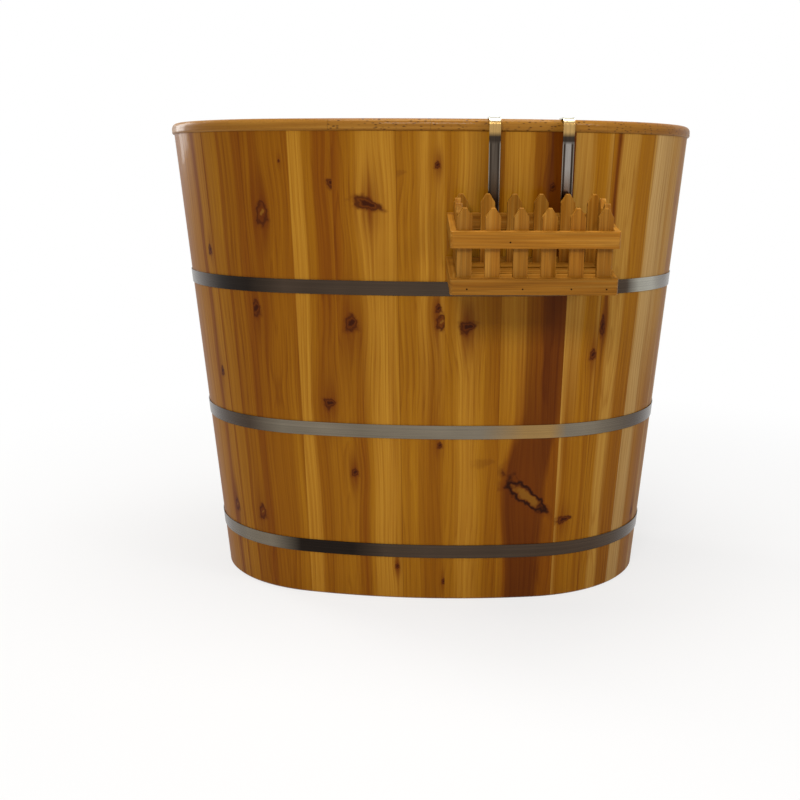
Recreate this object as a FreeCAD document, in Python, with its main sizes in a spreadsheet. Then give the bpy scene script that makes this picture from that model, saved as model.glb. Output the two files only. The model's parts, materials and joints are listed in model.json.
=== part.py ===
import FreeCAD, Part
import math
import os
import Sketcher

# Oval wooden bath bucket, in millimetres. The origin is the centre of the foot on the ground,
# +X runs along the length, -Y is the front where the caddy hangs, +Z is up.

# Driving dimensions.
SIZES = {
    # wall of staves: the oval is measured over the stave tops, its sides bow out past the round ends,
    # and the wall leans out by the flare
    "stave_height": 780,
    "top_length": 915,
    "top_width": 655,
    "side_bow": 15.5,
    "wall_flare": 78,
    "stave_thickness": 22,
    "foot_chamfer": 3,
    # rim bead on the stave tops, held by a tongue
    "rim_height": 19,
    "rim_overhang": 4,
    "rim_top_round": 9,
    "rim_foot_round": 4,
    "rim_joint_gap": 0.3,
    "tongue_width": 8,
    "tongue_height": 6,
    "tongue_clearance": 0.3,
    # hoops, by the height of their middle above the ground
    "hoop_width": 23,
    "hoop_thickness": 1.2,
    "hoop_clearance": 0.3,
    "top_hoop_level": 535,
    "middle_hoop_level": 297,
    "bottom_hoop_level": 87,
    "lap_length": 80,
    "rivet_pitch": 44,
    "rivet_head_radius": 4.5,
    "rivet_head_height": 2.2,
    "rivet_shank_radius": 2.2,
    "rivet_clearance": 0.25,
    # floor boards in the groove of the staves, and the bearers below them
    "floor_level": 70,
    "floor_thickness": 24,
    "floor_clearance": 0.3,
    "croze_depth": 8,
    "bearer_width": 60,
    "bearer_pitch": 190,
    "bearer_end_gap": 12,
    # drain through the middle floor board
    "drain_place": 95,
    "drain_hole_radius": 21,
    "tail_radius": 20,
    "tail_bore_radius": 16,
    "tail_drop": 12,
    "spigot_radius": 18.5,
    "spigot_length": 26,
    "flange_radius": 36,
    "flange_thickness": 4,
    "gasket_thickness": 2,
    "locknut_span": 58,
    "locknut_thickness": 9,
    "thread_clearance": 0.05,
    "seat_depth": 12,
    "seat_top_radius": 19,
    # lift-out plug
    "plug_lip_radius": 25,
    "plug_lip_thickness": 4,
    "plug_clearance": 0.4,
    "plug_depth": 10,
    "knob_radius": 9,
    "knob_height": 16,
    "knob_neck_radius": 4,
    "knob_root": 8,
    "knob_clearance": 0.05,
    # hanging caddy
    "caddy_place": 175,
    "caddy_width": 248,
    "caddy_depth": 139,
    "rail_height": 24.5,
    "rail_thickness": 10,
    "rail_corner_round": 5,
    "rail_spacing": 70,
    "picket_width": 22,
    "picket_thickness": 9,
    "picket_pitch": 41.2,
    "picket_rise": 32,
    "picket_shoulder": 13,
    "picket_tip_width": 6,
    "side_picket_pitch": 40,
    "slat_thickness": 8,
    "slat_gap": 4,
    "slat_level": 12,
    # bent straps that carry the caddy
    "strap_drop": 219.5,
    "strap_width": 17.5,
    "strap_thickness": 1.2,
    "strap_flange": 2.2,
    "strap_bend": 10,
    "strap_stand_off": 13,
    "strap_skew": 7,
    "strap_rest_gap": 0.5,
    "strap_lift_gap": 0.3,
    "strap_slack": 5.7,
    "strap_inner_drop": 34,
    "left_strap_place": -52,
    "right_strap_place": 61,
    # screws from the straps into the back rails
    "screw_head_radius": 3.6,
    "screw_head_height": 1.4,
    "screw_radius": 1.9,
    "screw_length": 11,
    "screw_clearance": 0.05,
}

# Shares of each arc of the oval that the boards on it take up, in turn round the plan: staves of mixed
# widths, used as they came, and rim pieces. The first share belongs to the board that comes round the
# corner from the arc before, and the last to the board that goes on round the next corner.
STAVE_SHARES = {
    "front": (0.13, 0.84, 1.22, 0.89, 1.09, 0.82),
    "right": (0.45, 0.73, 0.98, 1.13, 1.02, 0.95, 1.08, 0.9, 1.0, 0.76),
    "back": (0.5, 0.95, 1.1, 0.9, 1.0, 0.55),
    "left": (0.6, 0.8, 1.0, 0.9, 1.1, 0.95, 1.05, 0.8, 0.98, 0.82),
}
RIM_SHARES = {
    "front": (0.95, 1.88, 2.17),
    "right": (1.0, 2.4, 2.3, 2.3, 1.0),
    "back": (1.2, 2.6, 1.2),
    "left": (1.0, 2.2, 2.4, 2.4, 1.0),
}
FLOOR_BOARDS = 5
PICKETS_IN_A_ROW = 6
SLATS = 3

Vector = FreeCAD.Vector
doc = FreeCAD.newDocument("bath_bucket")
sheet = doc.addObject("Spreadsheet::Sheet", "Sizes")
for row, (alias, number) in enumerate(SIZES.items(), 1):
    sheet.set(f"A{row}", alias)
    sheet.set(f"B{row}", str(number))
    sheet.setAlias(f"B{row}", alias)
doc.recompute()


class Size:
    """A number that keeps the expression it came from, so that an object can be bound to it."""

    def __init__(self, value, text):
        self.value = value
        self.text = text

    @staticmethod
    def of(item):
        if isinstance(item, Size):
            return item
        return Size(float(item), f"({item})")

    def __add__(self, other):
        other = Size.of(other)
        return Size(self.value + other.value, f"({self.text} + {other.text})")

    def __sub__(self, other):
        other = Size.of(other)
        return Size(self.value - other.value, f"({self.text} - {other.text})")

    def __mul__(self, other):
        other = Size.of(other)
        return Size(self.value * other.value, f"({self.text} * {other.text})")

    def __truediv__(self, other):
        other = Size.of(other)
        return Size(self.value / other.value, f"({self.text} / {other.text})")

    def __radd__(self, other):
        return Size.of(other) + self

    def __rsub__(self, other):
        return Size.of(other) - self

    def __rmul__(self, other):
        return Size.of(other) * self

    def __rtruediv__(self, other):
        return Size.of(other) / self

    def __neg__(self):
        return Size(-self.value, f"(-1 * {self.text})")


def size(alias):
    return Size(float(sheet.get(alias)), f"Sizes.{alias}")


def root(item):
    return Size(math.sqrt(item.value), f"sqrt({item.text})")


def arctan_degrees(item):
    return Size(math.degrees(math.atan(item.value)), f"(atan({item.text}) / (1 deg))")


def arcsin_degrees(item):
    return Size(math.degrees(math.asin(item.value)), f"(asin({item.text}) / (1 deg))")


def bind(item, **sizes):
    """Tie properties of a document object to sizes; a double underscore stands for a dot."""
    for name, value in sizes.items():
        item.setExpression(name.replace("__", "."), Size.of(value).text)


def place(item, x=0, y=0, z=0, yaw=0, roll=0):
    """Put a piece somewhere: roll turns it about X, then yaw about Z."""
    bind(item, Placement__Base__x=x, Placement__Base__y=y, Placement__Base__z=z)
    bind(item, Placement__Rotation__Yaw=yaw, Placement__Rotation__Roll=roll)


def turn_about_upright(item, x, y, angle):
    """Put a piece on an upright axis at (x, y), turned about it by any angle."""
    item.Placement = FreeCAD.Placement(Vector(), Vector(0, 0, 1), angle.value)
    bind(item, Placement__Base__x=x, Placement__Base__y=y, Placement__Rotation__Angle=angle)


def origin_part(body, role):
    return next(part for part in body.Origin.OriginFeatures if part.Role == role)


def arc_curve(start, end, centre):
    """The counter-clockwise or clockwise arc of under a half turn from start to end."""
    circle = Part.Circle(Vector(*centre, 0), Vector(0, 0, 1), math.dist(start, centre))
    first = math.atan2(start[1] - centre[1], start[0] - centre[0])
    last = math.atan2(end[1] - centre[1], end[0] - centre[0])
    forward = (last - first) % (2 * math.pi) < math.pi
    if forward:
        return Part.ArcOfCircle(circle, first, last), True
    return Part.ArcOfCircle(circle, last, first), False


def outline(body, plane, corners, offset=0, level=0):
    """A closed sketch through the corners: (x, y), or (x, y, (centre x, centre y, radius)) before an arc.

    The sketch is shifted along its own X by the offset, and lifted off its plane by the level.
    """
    sketch = body.newObject("Sketcher::SketchObject", body.Name + "_outline")
    sketch.AttachmentSupport = (origin_part(body, plane), [""])
    sketch.MapMode = "FlatFace"
    bind(sketch, AttachmentOffset__Base__x=offset, AttachmentOffset__Base__z=level)
    points = [(Size.of(corner[0]), Size.of(corner[1])) for corner in corners]
    places = [(x.value, y.value) for x, y in points]
    # which end of each edge is its start: 1, or 2 where an arc runs clockwise
    starts = []
    for index, corner in enumerate(corners):
        here = places[index]
        there = places[(index + 1) % len(places)]
        if len(corner) == 3:
            centre_x, centre_y, radius = [Size.of(value) for value in corner[2]]
            curve, forward = arc_curve(here, there, (centre_x.value, centre_y.value))
            sketch.addGeometry(curve, False)
            number = sketch.addConstraint(Sketcher.Constraint("Radius", index, radius.value))
            sketch.setExpression(f"Constraints[{number}]", radius.text)
            starts.append(1 if forward else 2)
        else:
            sketch.addGeometry(Part.LineSegment(Vector(*here, 0), Vector(*there, 0)), False)
            starts.append(1)
    for index, start in enumerate(starts):
        after = (index + 1) % len(starts)
        sketch.addConstraint(Sketcher.Constraint("Coincident", index, 3 - start, after, starts[after]))
    for index, (x, y) in enumerate(points):
        for kind, value in (("DistanceX", x), ("DistanceY", y)):
            number = sketch.addConstraint(
                Sketcher.Constraint(kind, -1, 1, index, starts[index], value.value))
            sketch.setExpression(f"Constraints[{number}]", value.text)
    return sketch


def new_body(name):
    body = doc.addObject("PartDesign::Body", name)
    body.Label = name
    return body


def revolve(body, sketch, angle, both_ways=False, backwards=False):
    """Turn a profile about the sketch's upright axis."""
    turn = body.newObject("PartDesign::Revolution", body.Name + "_turn")
    turn.Profile = sketch
    turn.ReferenceAxis = (sketch, ["V_Axis"])
    turn.Midplane = both_ways
    turn.Reversed = backwards
    bind(turn, Angle=angle)
    return turn


def turned(name, corners):
    """A piece turned on a lathe: a full revolve of a profile drawn in (radius, height)."""
    body = new_body(name)
    revolve(body, outline(body, "XZ_Plane", corners), 360)
    return body


def prism(name, plane, corners, length, level=0, both_ways=False):
    """A piece of constant section, its outline pulled out square to the plane."""
    body = new_body(name)
    pad = body.newObject("PartDesign::Pad", name + "_pad")
    pad.Profile = outline(body, plane, corners, level=level)
    pad.Midplane = both_ways
    bind(pad, Length=length)
    return body


def rectangle(left, right, low, high):
    return [(left, low), (right, low), (right, high), (left, high)]


def cylinder(name, radius, height):
    item = doc.addObject("Part::Cylinder", name)
    bind(item, Radius=radius, Height=height)
    return item


def cut(name, base, tools):
    """The base with one or more tools taken away."""
    tool = tools[0]
    if len(tools) > 1:
        tool = doc.addObject("Part::Compound", name + "_tools")
        tool.Links = tools
    item = doc.addObject("Part::Cut", name)
    item.Label = name
    item.Base = base
    item.Tool = tool
    return item


def group(name, members):
    """Like pieces that are kept together, each still a solid of its own."""
    item = doc.addObject("Part::Compound", name)
    item.Links = members
    item.Label = name
    return item


# Oval plan of four arcs that meet without a corner: two ends and two flatter sides.
stave_height = size("stave_height")
wall_flare = size("wall_flare")
stave_thickness = size("stave_thickness")
side_bow = size("side_bow")
half_width = size("top_width") / 2
end_radius = half_width - side_bow
end_centre = size("top_length") / 2 - end_radius
side_centre = (end_centre * end_centre - side_bow * side_bow) / (2 * side_bow)
side_radius = half_width + side_centre
end_angle = arctan_degrees(side_centre / end_centre)
side_angle = 90 - end_angle
slope = wall_flare / stave_height
lean = arctan_degrees(slope)
lean_cosine = 1 / root(1 + slope * slope)

# The arcs in turn round the plan: centre, radius over the stave tops, first angle and half sweep.
ARCS = {
    "front": (0, side_centre, side_radius, 270 - side_angle, side_angle),
    "right": (end_centre, 0, end_radius, -end_angle, end_angle),
    "back": (0, -side_centre, side_radius, 90 - side_angle, side_angle),
    "left": (-end_centre, 0, end_radius, 180 - end_angle, end_angle),
}

sub_parts = []


def round_the_wall(name, shares, profile, joint_gap=0):
    """Boards side by side round the oval, listed by arc, the last of each going round its corner."""
    sides = list(ARCS)
    boards = {}
    for side, after in zip(sides, sides[1:] + sides[:1]):
        x, y, radius, first, half_sweep = ARCS[side]
        next_radius, next_half_sweep = ARCS[after][2], ARCS[after][4]
        share_degrees = half_sweep * (2 / sum(shares[side]))
        next_share_degrees = next_half_sweep * (2 / sum(shares[after]))
        gap = joint_gap / radius * (180 / math.pi)
        next_gap = joint_gap / next_radius * (180 / math.pi)
        carried, *whole, turning = shares[side]
        boards[side] = []
        share_before = carried
        for number, share in enumerate(whole, 1):
            board = new_body(f"{name}_{side}_{number}")
            revolve(board, outline(board, "XZ_Plane", profile(radius)), share_degrees * share - gap)
            turn_about_upright(board, x, y, first + share_degrees * share_before + gap / 2)
            boards[side].append(board)
            share_before += share
        board = new_body(f"{name}_{side}_{len(whole) + 1}")
        section = outline(board, "XZ_Plane", profile(radius))
        revolve(board, section, share_degrees * turning - gap / 2, backwards=True)
        section = outline(board, "XZ_Plane", profile(next_radius), radius - next_radius)
        revolve(board, section, next_share_degrees * shares[after][0] - next_gap / 2)
        turn_about_upright(board, x, y, first + half_sweep * 2)
        boards[side].append(board)
    return boards


def outer_radius(top_radius, level):
    """Radius of the wall's outer face at a level above the ground."""
    return top_radius - wall_flare * (1 - level / stave_height)


# Staves: one wall profile, turned through each stave's own angle about its arc's centre, or about two
# centres for a stave that goes round a corner.
floor_level = size("floor_level")
floor_thickness = size("floor_thickness")
floor_top = floor_level + floor_thickness
floor_clearance = size("floor_clearance")
foot_chamfer = size("foot_chamfer")
tongue_width = size("tongue_width")
tongue_height = size("tongue_height")


def groove_radius(top_radius):
    """Radius of the bottom of the groove that takes the floor."""
    return outer_radius(top_radius, floor_level) - stave_thickness + size("croze_depth")


def stave_profile(top_radius):
    inner_top = top_radius - stave_thickness
    groove_top = floor_top + floor_clearance
    tongue_outer = top_radius - (stave_thickness - tongue_width) / 2
    return [
        (outer_radius(top_radius, 0) - foot_chamfer, 0),
        (outer_radius(top_radius, foot_chamfer), foot_chamfer),
        (top_radius, stave_height),
        (tongue_outer, stave_height),
        (tongue_outer, stave_height + tongue_height),
        (tongue_outer - tongue_width, stave_height + tongue_height),
        (tongue_outer - tongue_width, stave_height),
        (inner_top, stave_height),
        (outer_radius(top_radius, groove_top) - stave_thickness, groove_top),
        (groove_radius(top_radius), groove_top),
        (groove_radius(top_radius), floor_level),
        (outer_radius(top_radius, floor_level) - stave_thickness, floor_level),
        (outer_radius(top_radius, 0) - stave_thickness, 0),
    ]


for staves in round_the_wall("stave", STAVE_SHARES, stave_profile).values():
    sub_parts += staves


# Rim bead: short butt-jointed pieces with a groove below for the stave tongues.
rim_height = size("rim_height")
rim_overhang = size("rim_overhang")
rim_round = size("rim_top_round")
rim_top = stave_height + rim_height


def rim_profile(top_radius):
    foot = size("rim_foot_round")
    clearance = size("tongue_clearance")
    outer = top_radius + rim_overhang
    inner = top_radius - stave_thickness - rim_overhang
    slot_outer = top_radius - (stave_thickness - tongue_width) / 2 + clearance
    slot_inner = slot_outer - tongue_width - 2 * clearance
    slot_top = stave_height + tongue_height + clearance
    return [
        (slot_outer, stave_height),
        (outer - foot, stave_height, (outer - foot, stave_height + foot, foot)),
        (outer, stave_height + foot),
        (outer, rim_top - rim_round, (outer - rim_round, rim_top - rim_round, rim_round)),
        (outer - rim_round, rim_top),
        (inner + rim_round, rim_top, (inner + rim_round, rim_top - rim_round, rim_round)),
        (inner, rim_top - rim_round),
        (inner, stave_height + foot, (inner + foot, stave_height + foot, foot)),
        (inner + foot, stave_height),
        (slot_inner, stave_height),
        (slot_inner, slot_top),
        (slot_outer, slot_top),
    ]


rim_pieces = round_the_wall("rim_piece", RIM_SHARES, rim_profile, size("rim_joint_gap"))
for side, pieces in rim_pieces.items():
    sub_parts.append(group(f"rim_{side}", pieces))


# Hoops: flat strip lying on the leaning wall, lapped over itself and riveted at the back.
hoop_width = size("hoop_width")
hoop_thickness = size("hoop_thickness")
rivet_pitch = size("rivet_pitch")


def strip_profile(top_radius, level, clearance):
    """Section of a strip that lies along the wall, the clearance measured square to it."""
    rise = hoop_width * lean_cosine / 2
    inner = outer_radius(top_radius, level) + clearance / lean_cosine
    outer = inner + hoop_thickness / lean_cosine
    run = rise * slope
    return [
        (inner - run, level - rise),
        (outer - run, level - rise),
        (outer + run, level + rise),
        (inner + run, level + rise),
    ]


def on_back_wall(item, across, level, stand_off):
    """Stand a piece square on the back wall, its own Z pointing away from the wall."""
    bow = side_radius - root(side_radius * side_radius - across * across)
    y = half_width - wall_flare * (1 - level / stave_height) - bow + stand_off * lean_cosine
    z = level - stand_off * slope * lean_cosine
    place(item, across, y, z, yaw=-arcsin_degrees(across / side_radius), roll=-90 - lean)


def hoop(name, level):
    clearance = size("hoop_clearance")
    ring = new_body(name + "_strip")
    # right end, back, left end and front: each arc's section turned both ways about its own centre
    for plane, centre, radius, half_sweep, way in (
            ("XZ_Plane", end_centre, end_radius, end_angle, 1),
            ("YZ_Plane", -side_centre, side_radius, side_angle, 1),
            ("XZ_Plane", -end_centre, end_radius, end_angle, -1),
            ("YZ_Plane", side_centre, side_radius, side_angle, -1)):
        section = [(run * way, rise) for run, rise in strip_profile(radius, level, clearance)]
        revolve(ring, outline(ring, plane, section, centre), half_sweep * 2, both_ways=True)
    lap_section = strip_profile(side_radius, level, clearance + hoop_thickness)
    lap = outline(ring, "YZ_Plane", lap_section, -side_centre)
    revolve(ring, lap, size("lap_length") / side_radius * (180 / math.pi), both_ways=True)
    holes = []
    rivets = []
    for number, across in enumerate((-rivet_pitch / 2, rivet_pitch / 2), 1):
        hole_radius = size("rivet_shank_radius") + size("rivet_clearance")
        hole = cylinder(f"{name}_hole_{number}", hole_radius, hoop_width)
        on_back_wall(hole, across, level, -hoop_thickness)
        holes.append(hole)
        rivet = turned(f"{name}_rivet_{number}", rivet_profile())
        on_back_wall(rivet, across, level, clearance + hoop_thickness * 2 + size("rivet_clearance"))
        rivets.append(rivet)
    return cut(name, ring, holes), rivets


def rivet_profile():
    """Low domed head on the lap, with its shank down through both layers of the strip."""
    head = size("rivet_head_radius")
    height = size("rivet_head_height")
    shank = size("rivet_shank_radius")
    dome = (head * head + height * height) / (2 * height)
    return [
        (0, -hoop_thickness * 2),
        (shank, -hoop_thickness * 2),
        (shank, 0.0),
        (head, 0.0, (0, height - dome, dome)),
        (0, height),
    ]


all_rivets = []
for which in ("top", "middle", "bottom"):
    strip, rivets = hoop(f"hoop_{which}", size(f"{which}_hoop_level"))
    sub_parts.append(strip)
    all_rivets += rivets
sub_parts.append(group("hoop_rivets", all_rivets))


# Floor: an oval panel that fills the groove, sawn into boards along its length.
def floor_panel(name):
    ends = groove_radius(end_radius) - floor_clearance
    sides = groove_radius(side_radius) - floor_clearance
    reach = root(end_centre * end_centre + side_centre * side_centre)
    join_x = end_centre + ends * end_centre / reach
    join_y = ends * side_centre / reach
    return prism(name, "XY_Plane", [
        (join_x, -join_y, (end_centre, 0, ends)),
        (join_x, join_y, (0, -side_centre, sides)),
        (-join_x, join_y, (-end_centre, 0, ends)),
        (-join_x, -join_y, (0, side_centre, sides)),
    ], floor_thickness)


drain_place = size("drain_place")
panel = floor_panel("floor_panel")
place(panel, z=floor_level)
board_width = (half_width * 2 - wall_flare * 2) / FLOOR_BOARDS
for number in range(FLOOR_BOARDS):
    strip = doc.addObject("Part::Box", f"floor_strip_{number + 1}")
    bind(strip, Length=size("top_length"), Width=board_width, Height=floor_top + floor_level)
    place(strip, -size("top_length") / 2, board_width * (number - FLOOR_BOARDS / 2))
    board = doc.addObject("Part::Common", f"floor_board_{number + 1}")
    board.Base = panel
    board.Tool = strip
    if number == FLOOR_BOARDS // 2:
        board.Label = "middle_board_blank"
        hole = cylinder("drain_hole", size("drain_hole_radius"), floor_top)
        place(hole, drain_place)
        board = cut(f"floor_board_{number + 1}_drilled", board, [hole])
    board.Label = f"floor_board_{number + 1}"
    sub_parts.append(board)


# Bearers: battens across the floor boards, on the ground with the stave ends.
bearer_pitch = size("bearer_pitch")
bearer_width = size("bearer_width")
foot_end_radius = outer_radius(end_radius, 0) - stave_thickness - size("bearer_end_gap")
bearers = []
for number, steps in enumerate((-1, 0, 1), 1):
    middle = bearer_pitch * steps
    if steps:
        reach = bearer_pitch + bearer_width / 2 - end_centre
        half_run = root(foot_end_radius * foot_end_radius - reach * reach)
    else:
        half_run = half_width - wall_flare - stave_thickness - size("bearer_end_gap")
    bearer = prism(f"bearer_{number}", "YZ_Plane", [
        (-half_run + foot_chamfer, 0),
        (half_run - foot_chamfer, 0),
        (half_run, foot_chamfer),
        (half_run, floor_level),
        (-half_run, floor_level),
        (-half_run, foot_chamfer),
    ], bearer_width, both_ways=True)
    place(bearer, middle)
    bearers.append(bearer)
sub_parts.append(group("floor_bearers", bearers))


# Drain: flanged body with a tail through the floor, drawn up by a locknut below.
tail_radius = size("tail_radius")
bore_radius = size("tail_bore_radius")
flange_foot = floor_top + size("gasket_thickness")
flange_top = flange_foot + size("flange_thickness")
seat_depth = size("seat_depth")
seat_radius = size("seat_top_radius")
tail_end = floor_level - size("tail_drop")
spigot_end = tail_end - size("spigot_length")
gasket_radius = size("flange_radius") - size("flange_thickness") / 2

drain_body = turned("drain_body", [
    (bore_radius, spigot_end),
    (size("spigot_radius"), spigot_end),
    (size("spigot_radius"), tail_end),
    (tail_radius, tail_end),
    (tail_radius, flange_foot),
    (size("flange_radius"), flange_foot),
    (gasket_radius, flange_top),
    (seat_radius, flange_top),
    (bore_radius, flange_top - seat_depth),
])
drain_gasket = turned("drain_gasket", rectangle(
    size("drain_hole_radius"), gasket_radius, floor_top, flange_foot))

nut_blank = doc.addObject("Part::Prism", "locknut_blank")
nut_blank.Polygon = 6
bind(nut_blank, Circumradius=size("locknut_span") / math.sqrt(3), Height=size("locknut_thickness"))
nut_bore = cylinder("locknut_bore", tail_radius + size("thread_clearance"), size("locknut_thickness"))
drain_locknut = cut("drain_locknut", nut_blank, [nut_bore])

plug_clearance = size("plug_clearance")
seat_narrowing = (seat_radius - bore_radius) / seat_depth
plug_depth = size("plug_depth")
plug_top = flange_top + size("plug_lip_thickness")
knob_root = size("knob_root")
knob_neck = size("knob_neck_radius")
drain_plug = turned("drain_plug", [
    (0, flange_top - plug_depth),
    (seat_radius - seat_narrowing * plug_depth - plug_clearance, flange_top - plug_depth),
    (seat_radius - plug_clearance, flange_top),
    (size("plug_lip_radius"), flange_top),
    (size("plug_lip_radius"), plug_top - size("plug_lip_thickness") / 2),
    (size("plug_lip_radius") - size("plug_lip_thickness") / 2, plug_top),
    (knob_neck + size("knob_clearance"), plug_top),
    (knob_neck + size("knob_clearance"), plug_top - knob_root),
    (0, plug_top - knob_root),
])
knob_radius = size("knob_radius")
knob_height = size("knob_height")
knob_foot = plug_top + knob_height - knob_radius
plug_knob = turned("plug_knob", [
    (0, plug_top - knob_root),
    (knob_neck, plug_top - knob_root),
    (knob_neck, knob_foot),
    (knob_radius, knob_foot, (0, knob_foot, knob_radius)),
    (0, plug_top + knob_height),
])
for piece in (drain_body, drain_gasket, drain_plug, plug_knob):
    place(piece, drain_place)
    sub_parts.append(piece)
place(drain_locknut, drain_place, 0, floor_level - size("locknut_thickness"))
sub_parts.append(drain_locknut)


# Caddy frame: its own X runs along the wall, -Y away from the wall and Z up the straps, from the
# line where the straps' inner face passes the stave tops. The straps lean on the wall at their foot,
# and the right one hangs further out than the left one, by the skew.
caddy_place = size("caddy_place")
strap_drop = size("strap_drop")
turn_sine = caddy_place / side_radius
turn_cosine = root(1 - turn_sine * turn_sine)
left_strap_place = size("left_strap_place")
skew_sine = size("strap_skew") / (size("right_strap_place") - left_strap_place)
skew_cosine = root(1 - skew_sine * skew_sine)
hang_sine = turn_sine * skew_cosine - turn_cosine * skew_sine
hang_cosine = turn_cosine * skew_cosine + turn_sine * skew_sine
strap_reach = rim_overhang + size("strap_stand_off")
strap_slope = (strap_reach + strap_drop * slope - size("strap_rest_gap")) / strap_drop
strap_cosine = 1 / root(1 + strap_slope * strap_slope)
strap_sine = strap_slope * strap_cosine
caddy_radius = side_radius + strap_reach - left_strap_place * skew_sine
caddy_pose = {
    "x": caddy_radius * turn_sine,
    "y": side_centre - caddy_radius * turn_cosine,
    "z": stave_height,
    "yaw": arcsin_degrees(hang_sine),
    "roll": arctan_degrees(strap_slope),
}

# Layers of the caddy, counted away from the wall: strap, back rails, pickets, front rails.
strap_flange = size("strap_flange")
rail_thickness = size("rail_thickness")
rail_height = size("rail_height")
picket_thickness = size("picket_thickness")
picket_width = size("picket_width")
caddy_depth = size("caddy_depth")
half_caddy = size("caddy_width") / 2
back_rail_front = strap_flange + rail_thickness
back_picket_front = back_rail_front + picket_thickness
front_rail_back = caddy_depth - rail_thickness
front_picket_back = front_rail_back - picket_thickness
lower_rail = -strap_drop
upper_rail = lower_rail + size("rail_spacing")
picket_top = upper_rail + rail_height + size("picket_rise")


def caddy_prism(name, plane, corners, length, level=0, both_ways=False):
    body = prism(name, plane, corners, length, level, both_ways)
    place(body, **caddy_pose)
    return body


def in_a_row(body, axis, run, copies):
    """Repeat a body's pad along one of its axes, the copies standing apart over the run."""
    row = body.newObject("PartDesign::LinearPattern", body.Name + "_row")
    row.Originals = [body.Tip]
    row.Direction = (origin_part(body, axis), [""])
    row.Occurrences = copies
    bind(row, Length=run)
    body.Tip = row
    return body


# Rails: laths round the outside of the pickets, the front corners rounded over.
corner_round = size("rail_corner_round")
front_rail_plan = [
    (half_caddy, -front_rail_back),
    (-half_caddy, -front_rail_back),
    (-half_caddy, corner_round - caddy_depth,
     (corner_round - half_caddy, corner_round - caddy_depth, corner_round)),
    (corner_round - half_caddy, -caddy_depth),
    (half_caddy - corner_round, -caddy_depth,
     (half_caddy - corner_round, corner_round - caddy_depth, corner_round)),
    (half_caddy, corner_round - caddy_depth),
]
back_rail_plan = rectangle(-half_caddy, half_caddy, -back_rail_front, -strap_flange)
side_rail_inner = half_caddy - rail_thickness
right_rail_plan = rectangle(side_rail_inner, half_caddy, -front_rail_back, -back_rail_front)
left_rail_plan = rectangle(-half_caddy, -side_rail_inner, -front_rail_back, -back_rail_front)
rail_levels = {"top": upper_rail, "bottom": lower_rail}
back_rails = {}
for which, level in rail_levels.items():
    front_name = f"caddy_front_{which}_rail"
    sub_parts.append(caddy_prism(front_name, "XY_Plane", front_rail_plan, rail_height, level))
    back_rails[which] = caddy_prism(f"back_{which}_lath", "XY_Plane", back_rail_plan, rail_height, level)
for side, plan in (("left", left_rail_plan), ("right", right_rail_plan)):
    rails = []
    for which, level in rail_levels.items():
        rails.append(caddy_prism(f"{side}_{which}_lath", "XY_Plane", plan, rail_height, level))
    sub_parts.append(group(f"caddy_{side}_rails", rails))


# Pickets: pointed laths with a blunt tip, nailed inside the rails.
def picket_outline(middle):
    half = picket_width / 2
    half_tip = size("picket_tip_width") / 2
    shoulder_level = picket_top - size("picket_shoulder")
    return [
        (middle - half, lower_rail),
        (middle + half, lower_rail),
        (middle + half, shoulder_level),
        (middle + half_tip, picket_top),
        (middle - half_tip, picket_top),
        (middle - half, shoulder_level),
    ]


picket_run = size("picket_pitch") * (PICKETS_IN_A_ROW - 1)
first_picket = picket_outline(-picket_run / 2)
for row_name, level in (("front", front_picket_back), ("back", back_rail_front)):
    row = caddy_prism(f"caddy_{row_name}_pickets", "XZ_Plane", first_picket, picket_thickness, level)
    sub_parts.append(in_a_row(row, "X_Axis", picket_run, PICKETS_IN_A_ROW))

caddy_middle = (back_picket_front + front_picket_back) / 2
side_step = size("side_picket_pitch") / 2
side_pickets = []
for side, level in (("left", -side_rail_inner), ("right", side_rail_inner - picket_thickness)):
    for which, step in (("rear", side_step), ("fore", -side_step)):
        corners = picket_outline(step - caddy_middle)
        picket = caddy_prism(f"{side}_{which}_picket", "YZ_Plane", corners, picket_thickness, level)
        side_pickets.append(picket)
sub_parts.append(group("caddy_side_pickets", side_pickets))


# Slats of the caddy's floor, between the pickets.
slat_gap = size("slat_gap")
slat_width = (front_picket_back - back_picket_front - slat_gap * (SLATS - 1)) / SLATS
slat_end = side_rail_inner - picket_thickness
slats = caddy_prism(
    "caddy_floor_slats", "XY_Plane",
    rectangle(-slat_end, slat_end, -front_picket_back, slat_width - front_picket_back),
    size("slat_thickness"), lower_rail + size("slat_level"))
sub_parts.append(in_a_row(slats, "Y_Axis", (slat_width + slat_gap) * (SLATS - 1), SLATS))


# Straps: shallow steel channels bent over the rim bead, with a short leg down inside the bucket.
strap_bend = size("strap_bend")
strap_width = size("strap_width")
strap_thickness = size("strap_thickness")
bead_rise = rim_height - rim_round
strap_top = rim_height + size("strap_lift_gap")
bead_reach = strap_reach + stave_thickness + rim_overhang - rim_round
bead_back = bead_reach * strap_cosine + bead_rise * strap_sine + rim_round
strap_gap = bead_back + size("strap_skew") + size("strap_slack")
far_bend = strap_gap - strap_bend
near_centre = (strap_bend, (strap_top - strap_bend - strap_bend * strap_sine) / strap_cosine)
far_centre = (far_bend, (strap_top - strap_bend - far_bend * strap_sine) / strap_cosine)


def bend_top(centre, radius):
    """The end of a bend where it runs into the strap's top, which lies level on the rim."""
    return centre[0] + radius * strap_sine, centre[1] + radius * strap_cosine


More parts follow.
